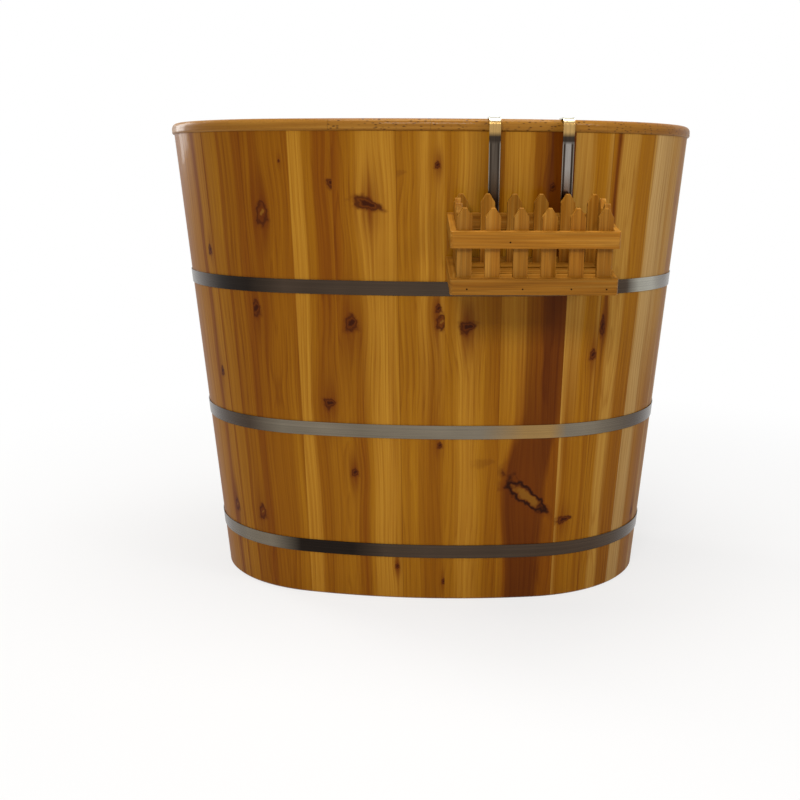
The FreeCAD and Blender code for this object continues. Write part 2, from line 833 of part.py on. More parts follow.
def strap_outline(inner, outer):
    """Side view of the bent strap between two distances from its inner face."""
    inner_bend = strap_bend + inner
    outer_bend = strap_bend + outer
    tip = -size("strap_inner_drop")
    return [
        (-inner, lower_rail),
        (-inner, near_centre[1], (*near_centre, inner_bend)),
        bend_top(near_centre, inner_bend),
        (*bend_top(far_centre, inner_bend), (*far_centre, inner_bend)),
        (strap_gap + inner, far_centre[1]),
        (strap_gap + inner, tip),
        (strap_gap + outer, tip),
        (strap_gap + outer, far_centre[1], (*far_centre, outer_bend)),
        bend_top(far_centre, outer_bend),
        (*bend_top(near_centre, outer_bend), (*near_centre, outer_bend)),
        (-outer, near_centre[1]),
        (-outer, lower_rail),
    ]


def caddy_spot(across, up):
    """Placement of a point on the straps' inner face, with Z pointing away from the wall."""
    return {
        "x": caddy_pose["x"] + across * hang_cosine + up * strap_sine * hang_sine,
        "y": caddy_pose["y"] + across * hang_sine - up * strap_sine * hang_cosine,
        "z": caddy_pose["z"] + up * strap_cosine,
        "yaw": caddy_pose["yaw"],
        "roll": caddy_pose["roll"] + 90,
    }


screw_radius = size("screw_radius")
screw_clearance = size("screw_clearance")
screw_length = size("screw_length")
screw_profile = [
    (0, -size("screw_head_height")),
    (size("screw_head_radius"), -size("screw_head_height")),
    (size("screw_head_radius"), 0),
    (screw_radius, 0),
    (screw_radius, screw_length),
    (0, screw_length),
]
screws = []
holes = {"top": [], "bottom": []}
for side in ("left", "right"):
    across = size(f"{side}_strap_place")
    bar = strap_outline(0, strap_flange)
    trough = strap_outline(strap_thickness, strap_flange)
    strap = caddy_prism(f"{side}_strap", "YZ_Plane", bar, strap_width, across, both_ways=True)
    channel = strap.newObject("PartDesign::Pocket", f"{side}_strap_channel")
    channel.Profile = outline(strap, "YZ_Plane", trough, level=across)
    channel.Midplane = True
    bind(channel, Length=strap_width - 2 * strap_thickness)
    strap_holes = []
    for which, level in rail_levels.items():
        spot = caddy_spot(across, level + rail_height / 2)
        screw = turned(f"{side}_{which}_screw", screw_profile)
        place(screw, **spot)
        screws.append(screw)
        hole_name = f"{side}_{which}_hole"
        hole = cylinder(hole_name, screw_radius + screw_clearance, screw_length + screw_clearance)
        place(hole, **spot)
        holes[which].append(hole)
        strap_holes.append(hole)
    sub_parts.append(cut(f"caddy_{side}_strap", strap, strap_holes))
for which, rail in back_rails.items():
    sub_parts.append(cut(f"caddy_back_{which}_rail", rail, holes[which]))
sub_parts.append(group("caddy_screws", screws))


# Build, test every object, and write one file for each piece.
doc.recompute()
failed = [item.Name for item in doc.Objects if "Invalid" in item.State or "Error" in item.State]
if failed:
    raise RuntimeError(f"these objects did not build: {failed}")
for part in sub_parts:
    if part.Shape.isNull() or not part.Shape.isValid():
        raise RuntimeError(f"{part.Label} has no valid shape")
os.makedirs("parts", exist_ok=True)
for part in sub_parts:
    part.Shape.exportStep(f"parts/{part.Label}.step")
    print(part.Label, len(part.Shape.Solids), round(part.Shape.Volume))
print(len(sub_parts), "pieces written")
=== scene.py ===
# %% [markdown]
# # A coopered bath bucket
# A wooden bath bucket is a wall of tapered fir staves on an oval plan, drawn together by steel hoops.
# The CAD frame already holds every board, hoop and screw at its real size and place, so this lesson only
# dresses it: the finish of each surface, a few brads, the light and the camera.

# %% Load the frame
import json
import math
import random
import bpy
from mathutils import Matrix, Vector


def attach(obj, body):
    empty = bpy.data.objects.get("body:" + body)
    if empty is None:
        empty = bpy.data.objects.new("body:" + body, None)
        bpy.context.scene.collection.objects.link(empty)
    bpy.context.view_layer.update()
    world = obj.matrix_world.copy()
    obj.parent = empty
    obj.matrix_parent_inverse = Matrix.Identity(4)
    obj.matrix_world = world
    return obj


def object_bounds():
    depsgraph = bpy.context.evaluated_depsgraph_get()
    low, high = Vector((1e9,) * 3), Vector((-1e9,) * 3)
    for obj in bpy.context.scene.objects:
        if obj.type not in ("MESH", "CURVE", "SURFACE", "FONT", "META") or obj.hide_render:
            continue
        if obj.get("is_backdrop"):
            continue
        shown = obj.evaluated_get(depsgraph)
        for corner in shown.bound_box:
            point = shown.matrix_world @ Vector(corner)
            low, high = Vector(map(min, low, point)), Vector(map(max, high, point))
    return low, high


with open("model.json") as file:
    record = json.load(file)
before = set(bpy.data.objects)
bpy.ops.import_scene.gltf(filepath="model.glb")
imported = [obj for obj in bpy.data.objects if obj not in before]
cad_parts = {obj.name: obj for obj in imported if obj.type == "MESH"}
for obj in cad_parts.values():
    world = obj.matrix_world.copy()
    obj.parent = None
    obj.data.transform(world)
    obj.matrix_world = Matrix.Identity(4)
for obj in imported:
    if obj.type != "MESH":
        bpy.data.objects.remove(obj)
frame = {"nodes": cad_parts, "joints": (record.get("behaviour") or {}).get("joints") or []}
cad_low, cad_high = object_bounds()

from types import SimpleNamespace

import bmesh
import bpy
from mathutils import Euler, Matrix, Vector

MM = 0.001
nodes = frame["nodes"]
print("CAD nodes:", len(nodes), "box:", [round(v, 3) for v in (*cad_low, *cad_high)])

# %% [markdown]
# ## Small tools
# Every finish below is a tree of shader nodes. A tree can be wired by hand in the node editor, but in a
# script one function that adds a node, sets it and links it keeps each finish short enough to read.
# Colours are written as the sRGB hex values that a picture shows, and shaders want linear light, so
# one more function turns the one into the other.

# %% Colours and nodes
def linear(hex_colour):
    """An sRGB hex colour as the linear RGBA that shader sockets take."""
    channels = [int(hex_colour[place:place + 2], 16) / 255 for place in (1, 3, 5)]
    return [c / 12.92 if c <= 0.04045 else ((c + 0.055) / 1.055) ** 2.4 for c in channels] + [1.0]


def add(tree, kind, *values, out=0, **settings):
    """Add a node with its settings and links, and give one of its outputs. A math node's kind is followed by
    its operation, and stops are the places and colours of a ramp. Values fill sockets in order, and those
    in a dictionary fill them by name or number."""
    kind, _, operation = kind.partition(" ")
    node = tree.nodes.new("ShaderNode" + kind)
    if operation:
        node.operation = operation
    for name, value in settings.items():
        if name == "stops":
            elements = node.color_ramp.elements
            elements.remove(elements[1])
            for number, (position, colour) in enumerate(value):
                stop = elements.new(position) if number else elements[0]
                stop.position = position
                stop.color = colour
        else:
            setattr(node, name, value)
    inputs = {}
    for number, value in enumerate(values):
        inputs.update(value if isinstance(value, dict) else {number: value})
    for socket, value in inputs.items():
        if isinstance(value, bpy.types.NodeSocket):
            tree.links.new(value, node.inputs[socket])
        else:
            node.inputs[socket].default_value = value
    return node.outputs[out]


# a Mix node blends two numbers, at sockets 2 and 3, or two colours, at 6 and 7 with the blend at output 2
BLEND = {"data_type": "RGBA", "out": 2}
print("linear light of mid grey:", round(linear("#808080")[0], 3))

# %% [markdown]
# ### What a finish is
# A finish is one Principled shader. What is the same all over a surface is a number on the shader's own
# socket, and nodes paint only what changes from place to place. That keeps the trees small, and plain
# numbers also survive an export to another program.

# %% Make a finish and give it to pieces
def new_finish(name, **uniform):
    """A material with its tree and shader, and the numbers that are the same all over its surface."""
    material = bpy.data.materials.new(name)
    material.use_nodes = True
    tree = material.node_tree
    shader = tree.nodes["Principled BSDF"]
    for socket, value in uniform.items():
        shader.inputs[socket.replace("_", " ")].default_value = value
    return material, tree, shader


def paint(shader, **varying):
    """Link what changes over a surface to the shader's sockets."""
    for socket, value in varying.items():
        shader.id_data.links.new(value, shader.inputs[socket.replace("_", " ")])


def dress(names, material):
    """Give CAD nodes a finish, in place of the plain one that they came with."""
    for name in names:
        nodes[name].data.materials.clear()
        nodes[name].data.materials.append(material)


print("pieces to dress:", len(nodes))

# %% [markdown]
# ## The camera
# The picture was taken with a normal lens from a little below the rim's height and a few degrees to the
# right of the bucket's front. The lens, the distance and the aim were found by matching the rim, the
# hoops, the foot and the two sides, and the picture's middle lies a little off the lens axis.

# %% Camera
IMAGE_WIDTH = 800
FOCAL_PIXELS = 1150
AXIS_PIXEL = (465.9, 360.4)
SENSOR_WIDTH = 36
CAMERA_AZIMUTH = math.radians(4.985)
CAMERA_DISTANCE = 2.1225
CAMERA_HEIGHT = 0.7121
AIM_YAW = math.radians(-1.776)
AIM_PITCH = math.radians(-9.11)
AIM_ROLL = math.radians(0.367)

camera = bpy.data.objects.new("camera", bpy.data.cameras.new("camera"))
bpy.context.scene.collection.objects.link(camera)
bpy.context.scene.camera = camera
lens = camera.data
lens.sensor_width = SENSOR_WIDTH
lens.lens = SENSOR_WIDTH * FOCAL_PIXELS / IMAGE_WIDTH
lens.shift_x = 0.5 - AXIS_PIXEL[0] / IMAGE_WIDTH
lens.shift_y = AXIS_PIXEL[1] / IMAGE_WIDTH - 0.5
eye = Vector((math.sin(CAMERA_AZIMUTH) * CAMERA_DISTANCE, -math.cos(CAMERA_AZIMUTH) * CAMERA_DISTANCE,
              CAMERA_HEIGHT))
camera.matrix_world = (Matrix.Translation(eye) @ Matrix.Rotation(CAMERA_AZIMUTH + AIM_YAW, 4, "Z")
                       @ Matrix.Rotation(math.pi / 2 + AIM_PITCH, 4, "X")
                       @ Matrix.Rotation(AIM_ROLL, 4, "Z"))
print("lens", round(lens.lens, 1), "mm, shift", round(lens.shift_x, 3), round(lens.shift_y, 3))

# %% [markdown]
# ## Fir staves
# The staves are China fir: pale sapwood beside golden and red-brown heartwood, in stripes that run the
# length of the board, with small dark knots that the stripes flow round. They are planed smooth and
# sprayed with clear gloss lacquer. A picture of wood wrapped round the wall would repeat and smear, so
# each board is worked out from its own place instead: how far across it a point lies, and how high.

# %% Tones of the wood
# lacquered fir, from sapwood to heartwood: gold and orange to the eye, deeper where the heart shows
# the palest tone is partly pale sapwood and partly painted light, for the top of the right side where more
# light falls
FIR = {name: linear(colour) for name, colour in {
    "cream": "#BC9860", "pale": "#B08A50", "straw": "#AC7E34", "sap": "#AA7621", "honey": "#98630F",
    "amber": "#8A5407", "heart": "#7F4704", "dark": "#602E03"}.items()}
print("tones of fir:", ", ".join(FIR))

# %% [markdown]
# ### The boards in view
# Each board that faces the viewer is described as a maker would note it, going round from the left.
# Bands are (share of the width, tone) in the upper half, and foot gives those of the lower half where they
# differ. Knots are (share of the width, height in mm, radius in mm, length over width, lean of the long way
# in degrees, share of it that is a pale middle, or None for a knot that the tree has grown over, which
# shows as a faint smudge). The pith is where the tree's middle lay: (share of the width, depth behind the
# face in mm). A sweep is where the heart widens towards the foot: (from height, to height, by this share).

# %% Boards at the left
BOARDS = {
    "left_6": {"bands": ((0, "honey"), (0.5, "amber"), (1, "honey")), "knots": (), "pith": (1.8, 40)},
    "left_7": {
        "bands": ((0, "honey"), (0.38, "honey"), (0.5, "heart"), (0.6, "heart"), (0.68, "honey"),
            (1, "honey")),
        "knots": ((0.8, 588, 5, 1.6, 0, 0), (0.71, 379, 5, 1.6, 0, 0), (0.64, 136, 8, 1.3, 0, 0.3)),
        "pith": (-0.6, 50)},
    "left_8": {
        "bands": ((0, "heart"), (0.08, "honey"), (0.38, "honey"), (0.44, "heart"), (0.52, "amber"),
            (0.8, "amber"), (0.88, "heart"), (1, "heart")),
        "knots": ((0.74, 137, 9, 1.4, 0, 0.3),), "pith": (1.4, 60)},
    "left_9": {
        "bands": ((0, "heart"), (0.16, "amber"), (0.27, "heart"), (0.4, "amber"), (0.85, "amber"),
            (1, "heart")),
        "foot": ((0, "heart"), (0.1, "amber"), (0.65, "amber"), (0.85, "honey"), (1, "amber")),
        "knots": ((0.36, 653, 10, 1.9, 0, 0.4), (0.07, 496, 9, 1.5, 6, 0), (0.78, 734, 2, 1.2, 0, 0)),
        "pith": (0.45, 12)},
}
print("boards at the left:", len(BOARDS))

# %% Boards in front
BOARDS |= {
    "front_1": {
        "bands": ((0, "sap"), (0.24, "sap"), (0.36, "honey"), (0.5, "amber"), (0.6, "heart"),
            (0.78, "heart"), (0.92, "amber"), (1, "heart")),
        "foot": ((0, "sap"), (0.26, "sap"), (0.38, "amber"), (0.55, "amber"), (0.72, "honey"),
            (1, "amber")),
        "knots": ((0.93, 701, 6, 1.3, 60, 0), (0.71, 342, 8, 1.2, 70, 0)), "pith": (1.3, 30)},
    "front_2": {
        "bands": ((0, "heart"), (0.1, "heart"), (0.18, "amber"), (0.38, "honey"), (0.48, "sap"),
            (0.93, "sap"), (1, "honey")),
        "foot": ((0, "honey"), (0.2, "honey"), (0.3, "amber"), (0.4, "heart"), (0.5, "honey"), (0.6, "sap"),
            (0.92, "sap"), (1, "honey")),
        "knots": ((0.57, 668, 9, 2.4, 112, 0), (0.26, 478, 10, 1.3, 0, 0), (0.22, 224, 6, 1.1, 0, 0),
            (0.91, 59, 3.5, 1.2, 0, 0)),
        "pith": (0.1, 14)},
    "front_3": {
        "bands": ((0, "honey"), (0.35, "honey"), (0.46, "sap"), (0.6, "sap"), (0.7, "honey"), (0.82, "sap"),
            (0.95, "honey")),
        "foot": ((0, "honey"), (0.35, "honey"), (0.52, "amber"), (0.82, "amber"), (0.95, "honey")),
        "knots": ((0.78, 729, 4, 1.3, 0, 0), (0.81, 504, 4.5, 1.5, 0, 0), (0.86, 482, 6, 2, 0, 0.4),
            (0.83, 275, 4, 1.3, 0, 0), (0.9, 33, 4, 1.2, 0, 0), (0.05, 716, 4, 2.4, 80, None)),
        "pith": (-1.2, 60)},
    "front_4": {
        "bands": ((0, "honey"), (0.2, "honey"), (0.33, "sap"), (0.48, "sap"), (0.7, "honey"),
            (0.9, "amber"), (1, "amber")),
        "knots": ((0.45, 474, 8, 1.6, 70, 0), (0.74, 244, 6, 2.6, 80, None)), "pith": (-0.4, 40)},
    "front_5": {
        "bands": ((0, "honey"), (0.1, "sap"), (0.37, "sap"), (0.45, "amber"), (0.6, "heart"), (0.7, "dark"),
            (1, "dark")),
        "foot": ((0, "honey"), (0.28, "honey"), (0.38, "heart"), (0.46, "dark"), (0.92, "dark"),
            (1, "heart")),
        "knots": ((0.7, 696, 5, 1.3, 0, 0), (0.52, 184, 14, 3.7, 129, 0.72)),
        "pith": (0.75, 16), "sweep": (190, 340, 0.24)},
}
print("boards up to the front's right edge:", len(BOARDS))

# %% Boards at the right
# on these boards the upper bands are lighter and the foot's bands darker, partly in the wood and partly as
# painted light: this side is lit more at its top than at its foot
BOARDS |= {
    "right_1": {
        "bands": ((0, "straw"), (0.45, "straw"), (0.58, "honey"), (0.85, "honey"), (1, "straw")),
        "foot": ((0, "straw"), (0.08, "straw"), (0.25, "amber"), (0.7, "honey"), (0.85, "amber"),
            (1, "honey")),
        "knots": ((0.9, 424, 6, 1.4, 0, 0), (0.4, 139, 5.5, 2.8, 80, 0)), "pith": (2.2, 50)},
    "right_2": {
        "bands": ((0, "honey"), (0.08, "heart"), (0.12, "dark"), (0.16, "heart"), (0.22, "straw"),
            (0.5, "straw"), (0.66, "honey"), (1, "honey")),
        "foot": ((0, "heart"), (0.05, "honey"), (0.2, "honey"), (0.3, "straw"), (0.5, "straw"),
            (0.62, "amber"), (1, "amber")),
        "knots": ((0.08, 472, 5, 3.2, 0, 0),), "pith": (0.3, 25)},
    # the palest band near the top of this board is partly pale sapwood and partly painted light
    "right_3": {
        "bands": ((0, "honey"), (0.05, "straw"), (0.13, "cream"), (0.5, "pale"), (0.7, "straw"),
            (1, "straw")),
        "foot": ((0, "pale"), (0.36, "pale"), (0.5, "honey"), (0.85, "amber"), (1, "honey")),
        "knots": ((0.87, 120, 4.5, 1.3, 0, 0),), "pith": (-1.0, 60)},
}
print("boards in view:", len(BOARDS), "knots:", sum(len(board["knots"]) for board in BOARDS.values()))

# %% [markdown]
# ### Knots
# A knot is a branch cut across: a dark red-brown core, in the larger ones round a paler middle, and a
# stain that runs along the grain above and below it. The stripes part round it like water round a stone.
# All knots are alike in kind, so one node group draws a knot from its place and size, and bends the
# board's own coordinates.

# %% A node group for one knot
knot = bpy.data.node_groups.new("Fir knot", "ShaderNodeTree")
for socket in ("Across", "Up", "Knot across", "Knot up", "Radius", "Length", "Lean"):
    knot.interface.new_socket(socket, in_out="INPUT", socket_type="NodeSocketFloat")
for socket in ("Across", "Reach", "Stain"):
    knot.interface.new_socket(socket, in_out="OUTPUT", socket_type="NodeSocketFloat")
given = knot.nodes.new("NodeGroupInput").outputs
away = add(knot, "Math SUBTRACT", given["Across"], given["Knot across"])
above = add(knot, "Math SUBTRACT", given["Up"], given["Knot up"])
offset = add(knot, "CombineXYZ", away, above)
radii = add(knot, "CombineXYZ", given["Radius"], given["Radius"], given["Radius"])
in_radii = add(knot, "VectorMath DIVIDE", offset, radii)
print("knot group takes", ", ".join(given.keys()[:-1]))

# %% Push the stripes aside, and stain them
# the push fades over three radii across and seven along the grain, and the stain over two and six
PUSH_FADE = (0.33, 0.14, 0)
STAIN_FADE = (0.5, 0.17, 0)
PUSH = -0.5

fades = []
for fade in (PUSH_FADE, STAIN_FADE):
    spread = add(knot, "VectorMath MULTIPLY", in_radii, fade)
    spread = add(knot, "VectorMath DOT_PRODUCT", spread, spread, out="Value")
    fades.append(add(knot, "Math POWER", math.exp(-1), spread))
push, stain = fades
push = add(knot, "Math MULTIPLY", push, away)
bent = add(knot, "Math MULTIPLY_ADD", push, PUSH, given["Across"])
print("stripes pushed aside and stained:", len(knot.nodes), "nodes")

# %% A ragged oval
# one end of the oval is narrower, as in an egg, and its reach is 1 along its edge
EGG = 0.35
RAGGED_SCALE = 0.7
RAGGED = (1.4, 1.4, 0)

turned = add(knot, "VectorRotate", {"Vector": in_radii, "Angle": given["Lean"]}, rotation_type="Z_AXIS")
shrink = add(knot, "CombineXYZ", 1.0, given["Length"], 1.0)
turned = add(knot, "VectorMath DIVIDE", turned, shrink)
long_way = add(knot, "SeparateXYZ", turned, out="Y")
taper = add(knot, "Math MULTIPLY_ADD", long_way, EGG, 1.0)
taper = add(knot, "CombineXYZ", taper, 1.0, 1.0)
turned = add(knot, "VectorMath MULTIPLY", turned, taper)
ragged = add(knot, "TexNoise", {"Vector": in_radii, "Scale": RAGGED_SCALE, "Detail": 2}, out="Color")
ragged = add(knot, "VectorMath ADD", ragged, (-0.5, -0.5, 0))
ragged = add(knot, "VectorMath MULTIPLY_ADD", ragged, RAGGED, turned)
ragged = add(knot, "VectorMath MULTIPLY", ragged, (1, 1, 0))
reach = add(knot, "VectorMath LENGTH", ragged, out="Value")
result = knot.nodes.new("NodeGroupOutput").inputs
for socket, value in (("Across", bent), ("Reach", reach), ("Stain", stain)):
    knot.links.new(value, result[socket])
print("knot group:", len(knot.nodes), "nodes")

# %% [markdown]
# ### The place of each board
# The grain of a stave follows its taper, because it was sawn along its own edges. Every board could be
# unwrapped for that, but the frame already holds what it takes: the board's middle, the way it faces and
# its two edges at the top and the foot are read from its mesh.

# %% Where a stave stands
STAVE_HEIGHT = 780 * MM
FOOT_POINTS = 4 * MM


def board_place(node):
    """Middle of a stave at its top, the way it faces, and its edges at top and foot, from the middle."""
    points = [v.co for v in node.data.vertices]
    top = [p.xy for p in points if p.z > STAVE_HEIGHT - MM]
    foot = [p.xy for p in points if p.z < FOOT_POINTS]
    ends = max(((a, b) for a in top for b in top), key=lambda pair: (pair[0] - pair[1]).length)
    middle = (ends[0] + ends[1]) / 2
    across = (ends[1] - ends[0]).normalized()
    if middle.x * across.y - middle.y * across.x < 0:
        across = -across
    edges = []
    for level in (top, foot):
        reach = [(p - middle).dot(across) for p in level]
        edges.append((min(reach), max(reach)))
    return middle, math.atan2(across.y, across.x), *edges


front_edges = board_place(nodes["stave_front_3"])[2]
front_width = front_edges[1] - front_edges[0]
print("front stave 3 is", round(front_width / MM, 1), "mm wide at the top")


# %% Where a point lies on its board
def on_board(tree, name):
    """A point's place along its stave's own axes, its height, its share across and the stave's width."""
    middle, facing, at_top, at_foot = board_place(nodes["stave_" + name])
    here = add(tree, "TexCoord", out="Object")
    here = add(tree, "Mapping", {"Vector": here, "Location": (*middle, 0), "Rotation": (0, 0, facing)},
               vector_type="TEXTURE")
    axes = add(tree, "SeparateXYZ", here).node.outputs
    left, right = [add(tree, "MapRange", axes["Z"], 0, STAVE_HEIGHT, foot, top, clamp=False)
                   for foot, top in zip(at_foot, at_top)]
    share = add(tree, "MapRange", axes["X"], left, right, clamp=False)
    return SimpleNamespace(here=here, up=axes["Z"], share=share, width=at_top[1] - at_top[0])


stave_names = [name[len("stave_"):] for name in nodes if name.startswith("stave_")]
print("staves to place points on:", len(stave_names))

# %% [markdown]
# ### Stripes
# No grain is quite straight: it wanders a few millimetres along the board and parts round each knot.
# Every layer of the wood could be bent by itself, but all of them are drawn from one number, how far
# across the board a stripe lies. So that number is bent once, and all layers follow.

# %% Stripes that wander and part round the knots
WANDER = 8 * MM
WANDER_LENGTH = 260 * MM


def bend_stripes(tree, point, knots, seed):
    """Add to a point how far across its stripe lies, and what each knot does there."""
    point.along = add(tree, "Math ADD", point.up, seed)
    wander = add(tree, "TexNoise", {"W": point.along, "Scale": 1 / WANDER_LENGTH, "Detail": 1},
                 noise_dimensions="1D")
    wander = add(tree, "Math MULTIPLY_ADD", wander, WANDER, -WANDER / 2)
    point.across = add(tree, "Math MULTIPLY_ADD", point.share, point.width, wander)
    point.spots = []
    for place, height, radius, length, lean, _ in knots:
        spot = add(tree, "Group", point.across, point.up, place * point.width, height * MM, radius * MM,
                   length, math.radians(lean), node_tree=knot).node.outputs
        point.across = spot["Across"]
        point.spots.append(spot)


print("stripes wander by", round(WANDER / MM), "mm over", round(WANDER_LENGTH / MM), "mm")

# %% Streaks and fibres along the stripes
STREAK = 10 * MM
# fibres are finer than this: 3 mm is the finest that shows in the picture
FIBRE = 3 * MM
GRAIN_SQUEEZE = 0.012


def lay_grain(tree, point, seed):
    """Add the broad streaks and the fine fibres, noise that is drawn out along the board."""
    slow = add(tree, "Math MULTIPLY", point.up, GRAIN_SQUEEZE)
    grain = add(tree, "CombineXYZ", point.across, slow, seed)
    point.streaks, point.fibres = [
        add(tree, "TexNoise", {"Vector": grain, "Scale": 1 / size, "Detail": detail, "Roughness": 0.6})
        for size, detail in ((STREAK, 3), (FIBRE, 2))]


print("a streak is about", round(STREAK / GRAIN_SQUEEZE / MM), "mm long")

# %% [markdown]
# ### Bands
# Young wood on the outside of the trunk is pale and the heart is dark, and a board that was sawn through
# both shows them side by side. A colour ramp across the board gives the bands, and the streaks push its
# edges to and fro, so that they feather along the grain as in sawn wood.

# %% Bands of sapwood and heartwood
BAND_FEATHER = 0.16
BANDS_CHANGE = (230 * MM, 580 * MM)


def band_tones(tree, point, board):
    """The tone of the band that a point lies in."""
    banded = add(tree, "Math MULTIPLY", point.across, 1 / point.width)
    banded = add(tree, "Math MULTIPLY_ADD", point.streaks, BAND_FEATHER, banded)
    banded = add(tree, "Math SUBTRACT", banded, BAND_FEATHER / 2)
    if "sweep" in board:
        low, high, by = board["sweep"]
        sweep = add(tree, "MapRange", point.up, low * MM, high * MM, by, 0, interpolation_type="SMOOTHSTEP")
        banded = add(tree, "Math ADD", banded, sweep)
    colour = add(tree, "ValToRGB", banded, stops=[(place, FIR[tone]) for place, tone in board["bands"]])
    if "foot" not in board:
        return colour
    # on the right-hand boards the foot's darker bands are partly painted shade, and the upper ones partly
    # painted light
    lower = add(tree, "ValToRGB", banded, stops=[(place, FIR[tone]) for place, tone in board["foot"]])
    upper = add(tree, "MapRange", point.up, *BANDS_CHANGE, interpolation_type="SMOOTHSTEP")
    return add(tree, "Mix", {0: upper, 6: lower, 7: colour}, **BLEND)


print("boards whose foot has bands of its own:", sum("foot" in board for board in BOARDS.values()))

# %% [markdown]
# ### Growth rings
# Rings are circles round the tree's middle, so the distance from the pith gives both the straight lines
# of a board that was cut far from it and the arches of one cut close to it. Painted arches would look
# right on one board only. In each ring the early wood darkens slowly into a thin line of late wood.

# %% Late wood in the growth rings
RING_WIDTH = 8 * MM
RING_WAVER = 1.6
PITH_DRIFT = 40 * MM
DRIFT_LENGTH = 330 * MM
LATE_WOOD = ((0.0, 0.0), (0.5, 0.12), (0.8, 1.0), (0.92, 0.0))


def late_wood(tree, point, pith):
    """1 on the dark line of a ring and 0 in its early wood. The pith's depth drifts along the board."""
    pith_share, pith_depth = pith
    drift = add(tree, "TexNoise", {"W": point.along, "Scale": 1 / DRIFT_LENGTH, "Detail": 2},
                noise_dimensions="1D")
    depth = add(tree, "Math MULTIPLY_ADD", drift, PITH_DRIFT, pith_depth * MM - PITH_DRIFT / 2)
    aside = add(tree, "Math SUBTRACT", point.across, pith_share * point.width)
    from_pith = add(tree, "CombineXYZ", aside, depth)
    rings = add(tree, "VectorMath LENGTH", from_pith, out="Value")
    rings = add(tree, "Math MULTIPLY", rings, 1 / RING_WIDTH)
    rings = add(tree, "Math MULTIPLY_ADD", point.streaks, RING_WAVER, rings)
    rings = add(tree, "Math FRACT", rings)
    return add(tree, "ValToRGB", rings, stops=[(place, (late,) * 3 + (1,)) for place, late in LATE_WOOD])


print("rings across front stave 3:", round(front_width / RING_WIDTH, 1))

# %% Shade the grain
# most of a noise lies between these two values, so they are its ends here
NOISE_ENDS = (0.35, 0.65)
PATCH = 120 * MM
LATE_STRENGTH = (0.08, 0.3)
STREAK_SHADES = (1.06, 0.9)
FIBRE_SHADES = (1.08, 0.86)
# what darkens the grain is red-brown resin, so green and blue fall faster than red
RESIN_FALL = (0.8, 1.2, 1.9)


def grain_shade(tree, point, late):
    """The share of red, green and blue that rings, streaks and fibres leave."""
    patchy = add(tree, "TexNoise", {"Vector": point.here, "Scale": 1 / PATCH, "Detail": 3})
    strong, soft, fine = [
        add(tree, "MapRange", value, *NOISE_ENDS, *shades) for value, shades in (
            (patchy, LATE_STRENGTH), (point.streaks, STREAK_SHADES), (point.fibres, FIBRE_SHADES))]
    dim = add(tree, "Math MULTIPLY", late, strong)
    dim = add(tree, "Math SUBTRACT", 1.0, dim)
    dim = add(tree, "Math MULTIPLY", dim, soft)
    dim = add(tree, "Math MULTIPLY", dim, fine)
    return add(tree, "CombineXYZ", *[add(tree, "Math POWER", dim, fall) for fall in RESIN_FALL])


print("darkest grain keeps this share of the light:",
      round((1 - LATE_STRENGTH[1]) * STREAK_SHADES[1] * FIBRE_SHADES[1], 2))

# %% [markdown]
# ### Drawing the knots
# A stain lies under all knots of a board and runs along the fibres, so it shows as streaks. Over it comes
# each knot: a soft red-brown body, a thin dark ring and a dark heart, or a pale middle with bark round
# it. Knots could be modelled as plugs in the wood, but planed flat they are colour and nothing else.

# %% Stains and knots
KNOT_CORE = linear("#381402")
BARK = linear("#240B02")
KNOT_BODY = linear("#5F2B04")
KNOT_MIDDLE = linear("#7E5014")
KNOT_STAIN = linear("#6A3302")
STAIN_STREAKS = (0.38, 0.6, 0.25, 1.0)
# how strongly each part covers the wood below it
KNOT_DEPTH = 0.92
OVERGROWN = 0.3
RING_DEPTH = 0.65
BARK_DEPTH = 0.95
# places in the knot's own reach, from outside to inside
BODY_EDGE = (1.6, 0.7)
RING_AT = 0.85
RING_EDGE = (0.26, 0.04)
HEART_AT = 0.62
HEART_EDGE = 0.6
# a knot with a pale middle above this share has bark round it
BARK_FROM = 0.5


def draw_knot(tree, colour, spot, middle_share):
    """One knot over the colour of its board."""
    overgrown = middle_share is None
    body = add(tree, "MapRange", spot["Reach"], *BODY_EDGE, 0, OVERGROWN if overgrown else KNOT_DEPTH,
               interpolation_type="SMOOTHSTEP")
    colour = add(tree, "Mix", {0: body, 6: colour, 7: KNOT_BODY}, **BLEND)
    if overgrown:
        return colour
    bark = middle_share > BARK_FROM
    ring = add(tree, "Math SUBTRACT", spot["Reach"], RING_AT)
    ring = add(tree, "Math ABSOLUTE", ring)
    ring = add(tree, "MapRange", ring, *RING_EDGE, 0, BARK_DEPTH if bark else RING_DEPTH)
    colour = add(tree, "Mix", {0: ring, 6: colour, 7: BARK if bark else KNOT_CORE}, **BLEND)
    inner = middle_share or HEART_AT
    core = add(tree, "MapRange", spot["Reach"], inner, inner * HEART_EDGE)
    return add(tree, "Mix", {0: core, 6: colour, 7: KNOT_MIDDLE if middle_share else KNOT_CORE}, **BLEND)


def draw_knots(tree, colour, point, knots):
    """The stains of all knots, and then the knots."""
    feather = add(tree, "MapRange", point.streaks, *STAIN_STREAKS)
    for spot, (*_, middle_share) in zip(point.spots, knots):
        if middle_share is not None:
            fade = add(tree, "Math MULTIPLY", spot["Stain"], feather)
            colour = add(tree, "Mix", {0: fade, 6: colour, 7: KNOT_STAIN}, **BLEND)
    for spot, (*_, middle_share) in zip(point.spots, knots):
        colour = draw_knot(tree, colour, spot, middle_share)
    return colour


radii_in_view = [radius for board in BOARDS.values() for _, _, radius, *_ in board["knots"]]
print("knots in view are", min(radii_in_view), "to", max(radii_in_view), "mm in radius")

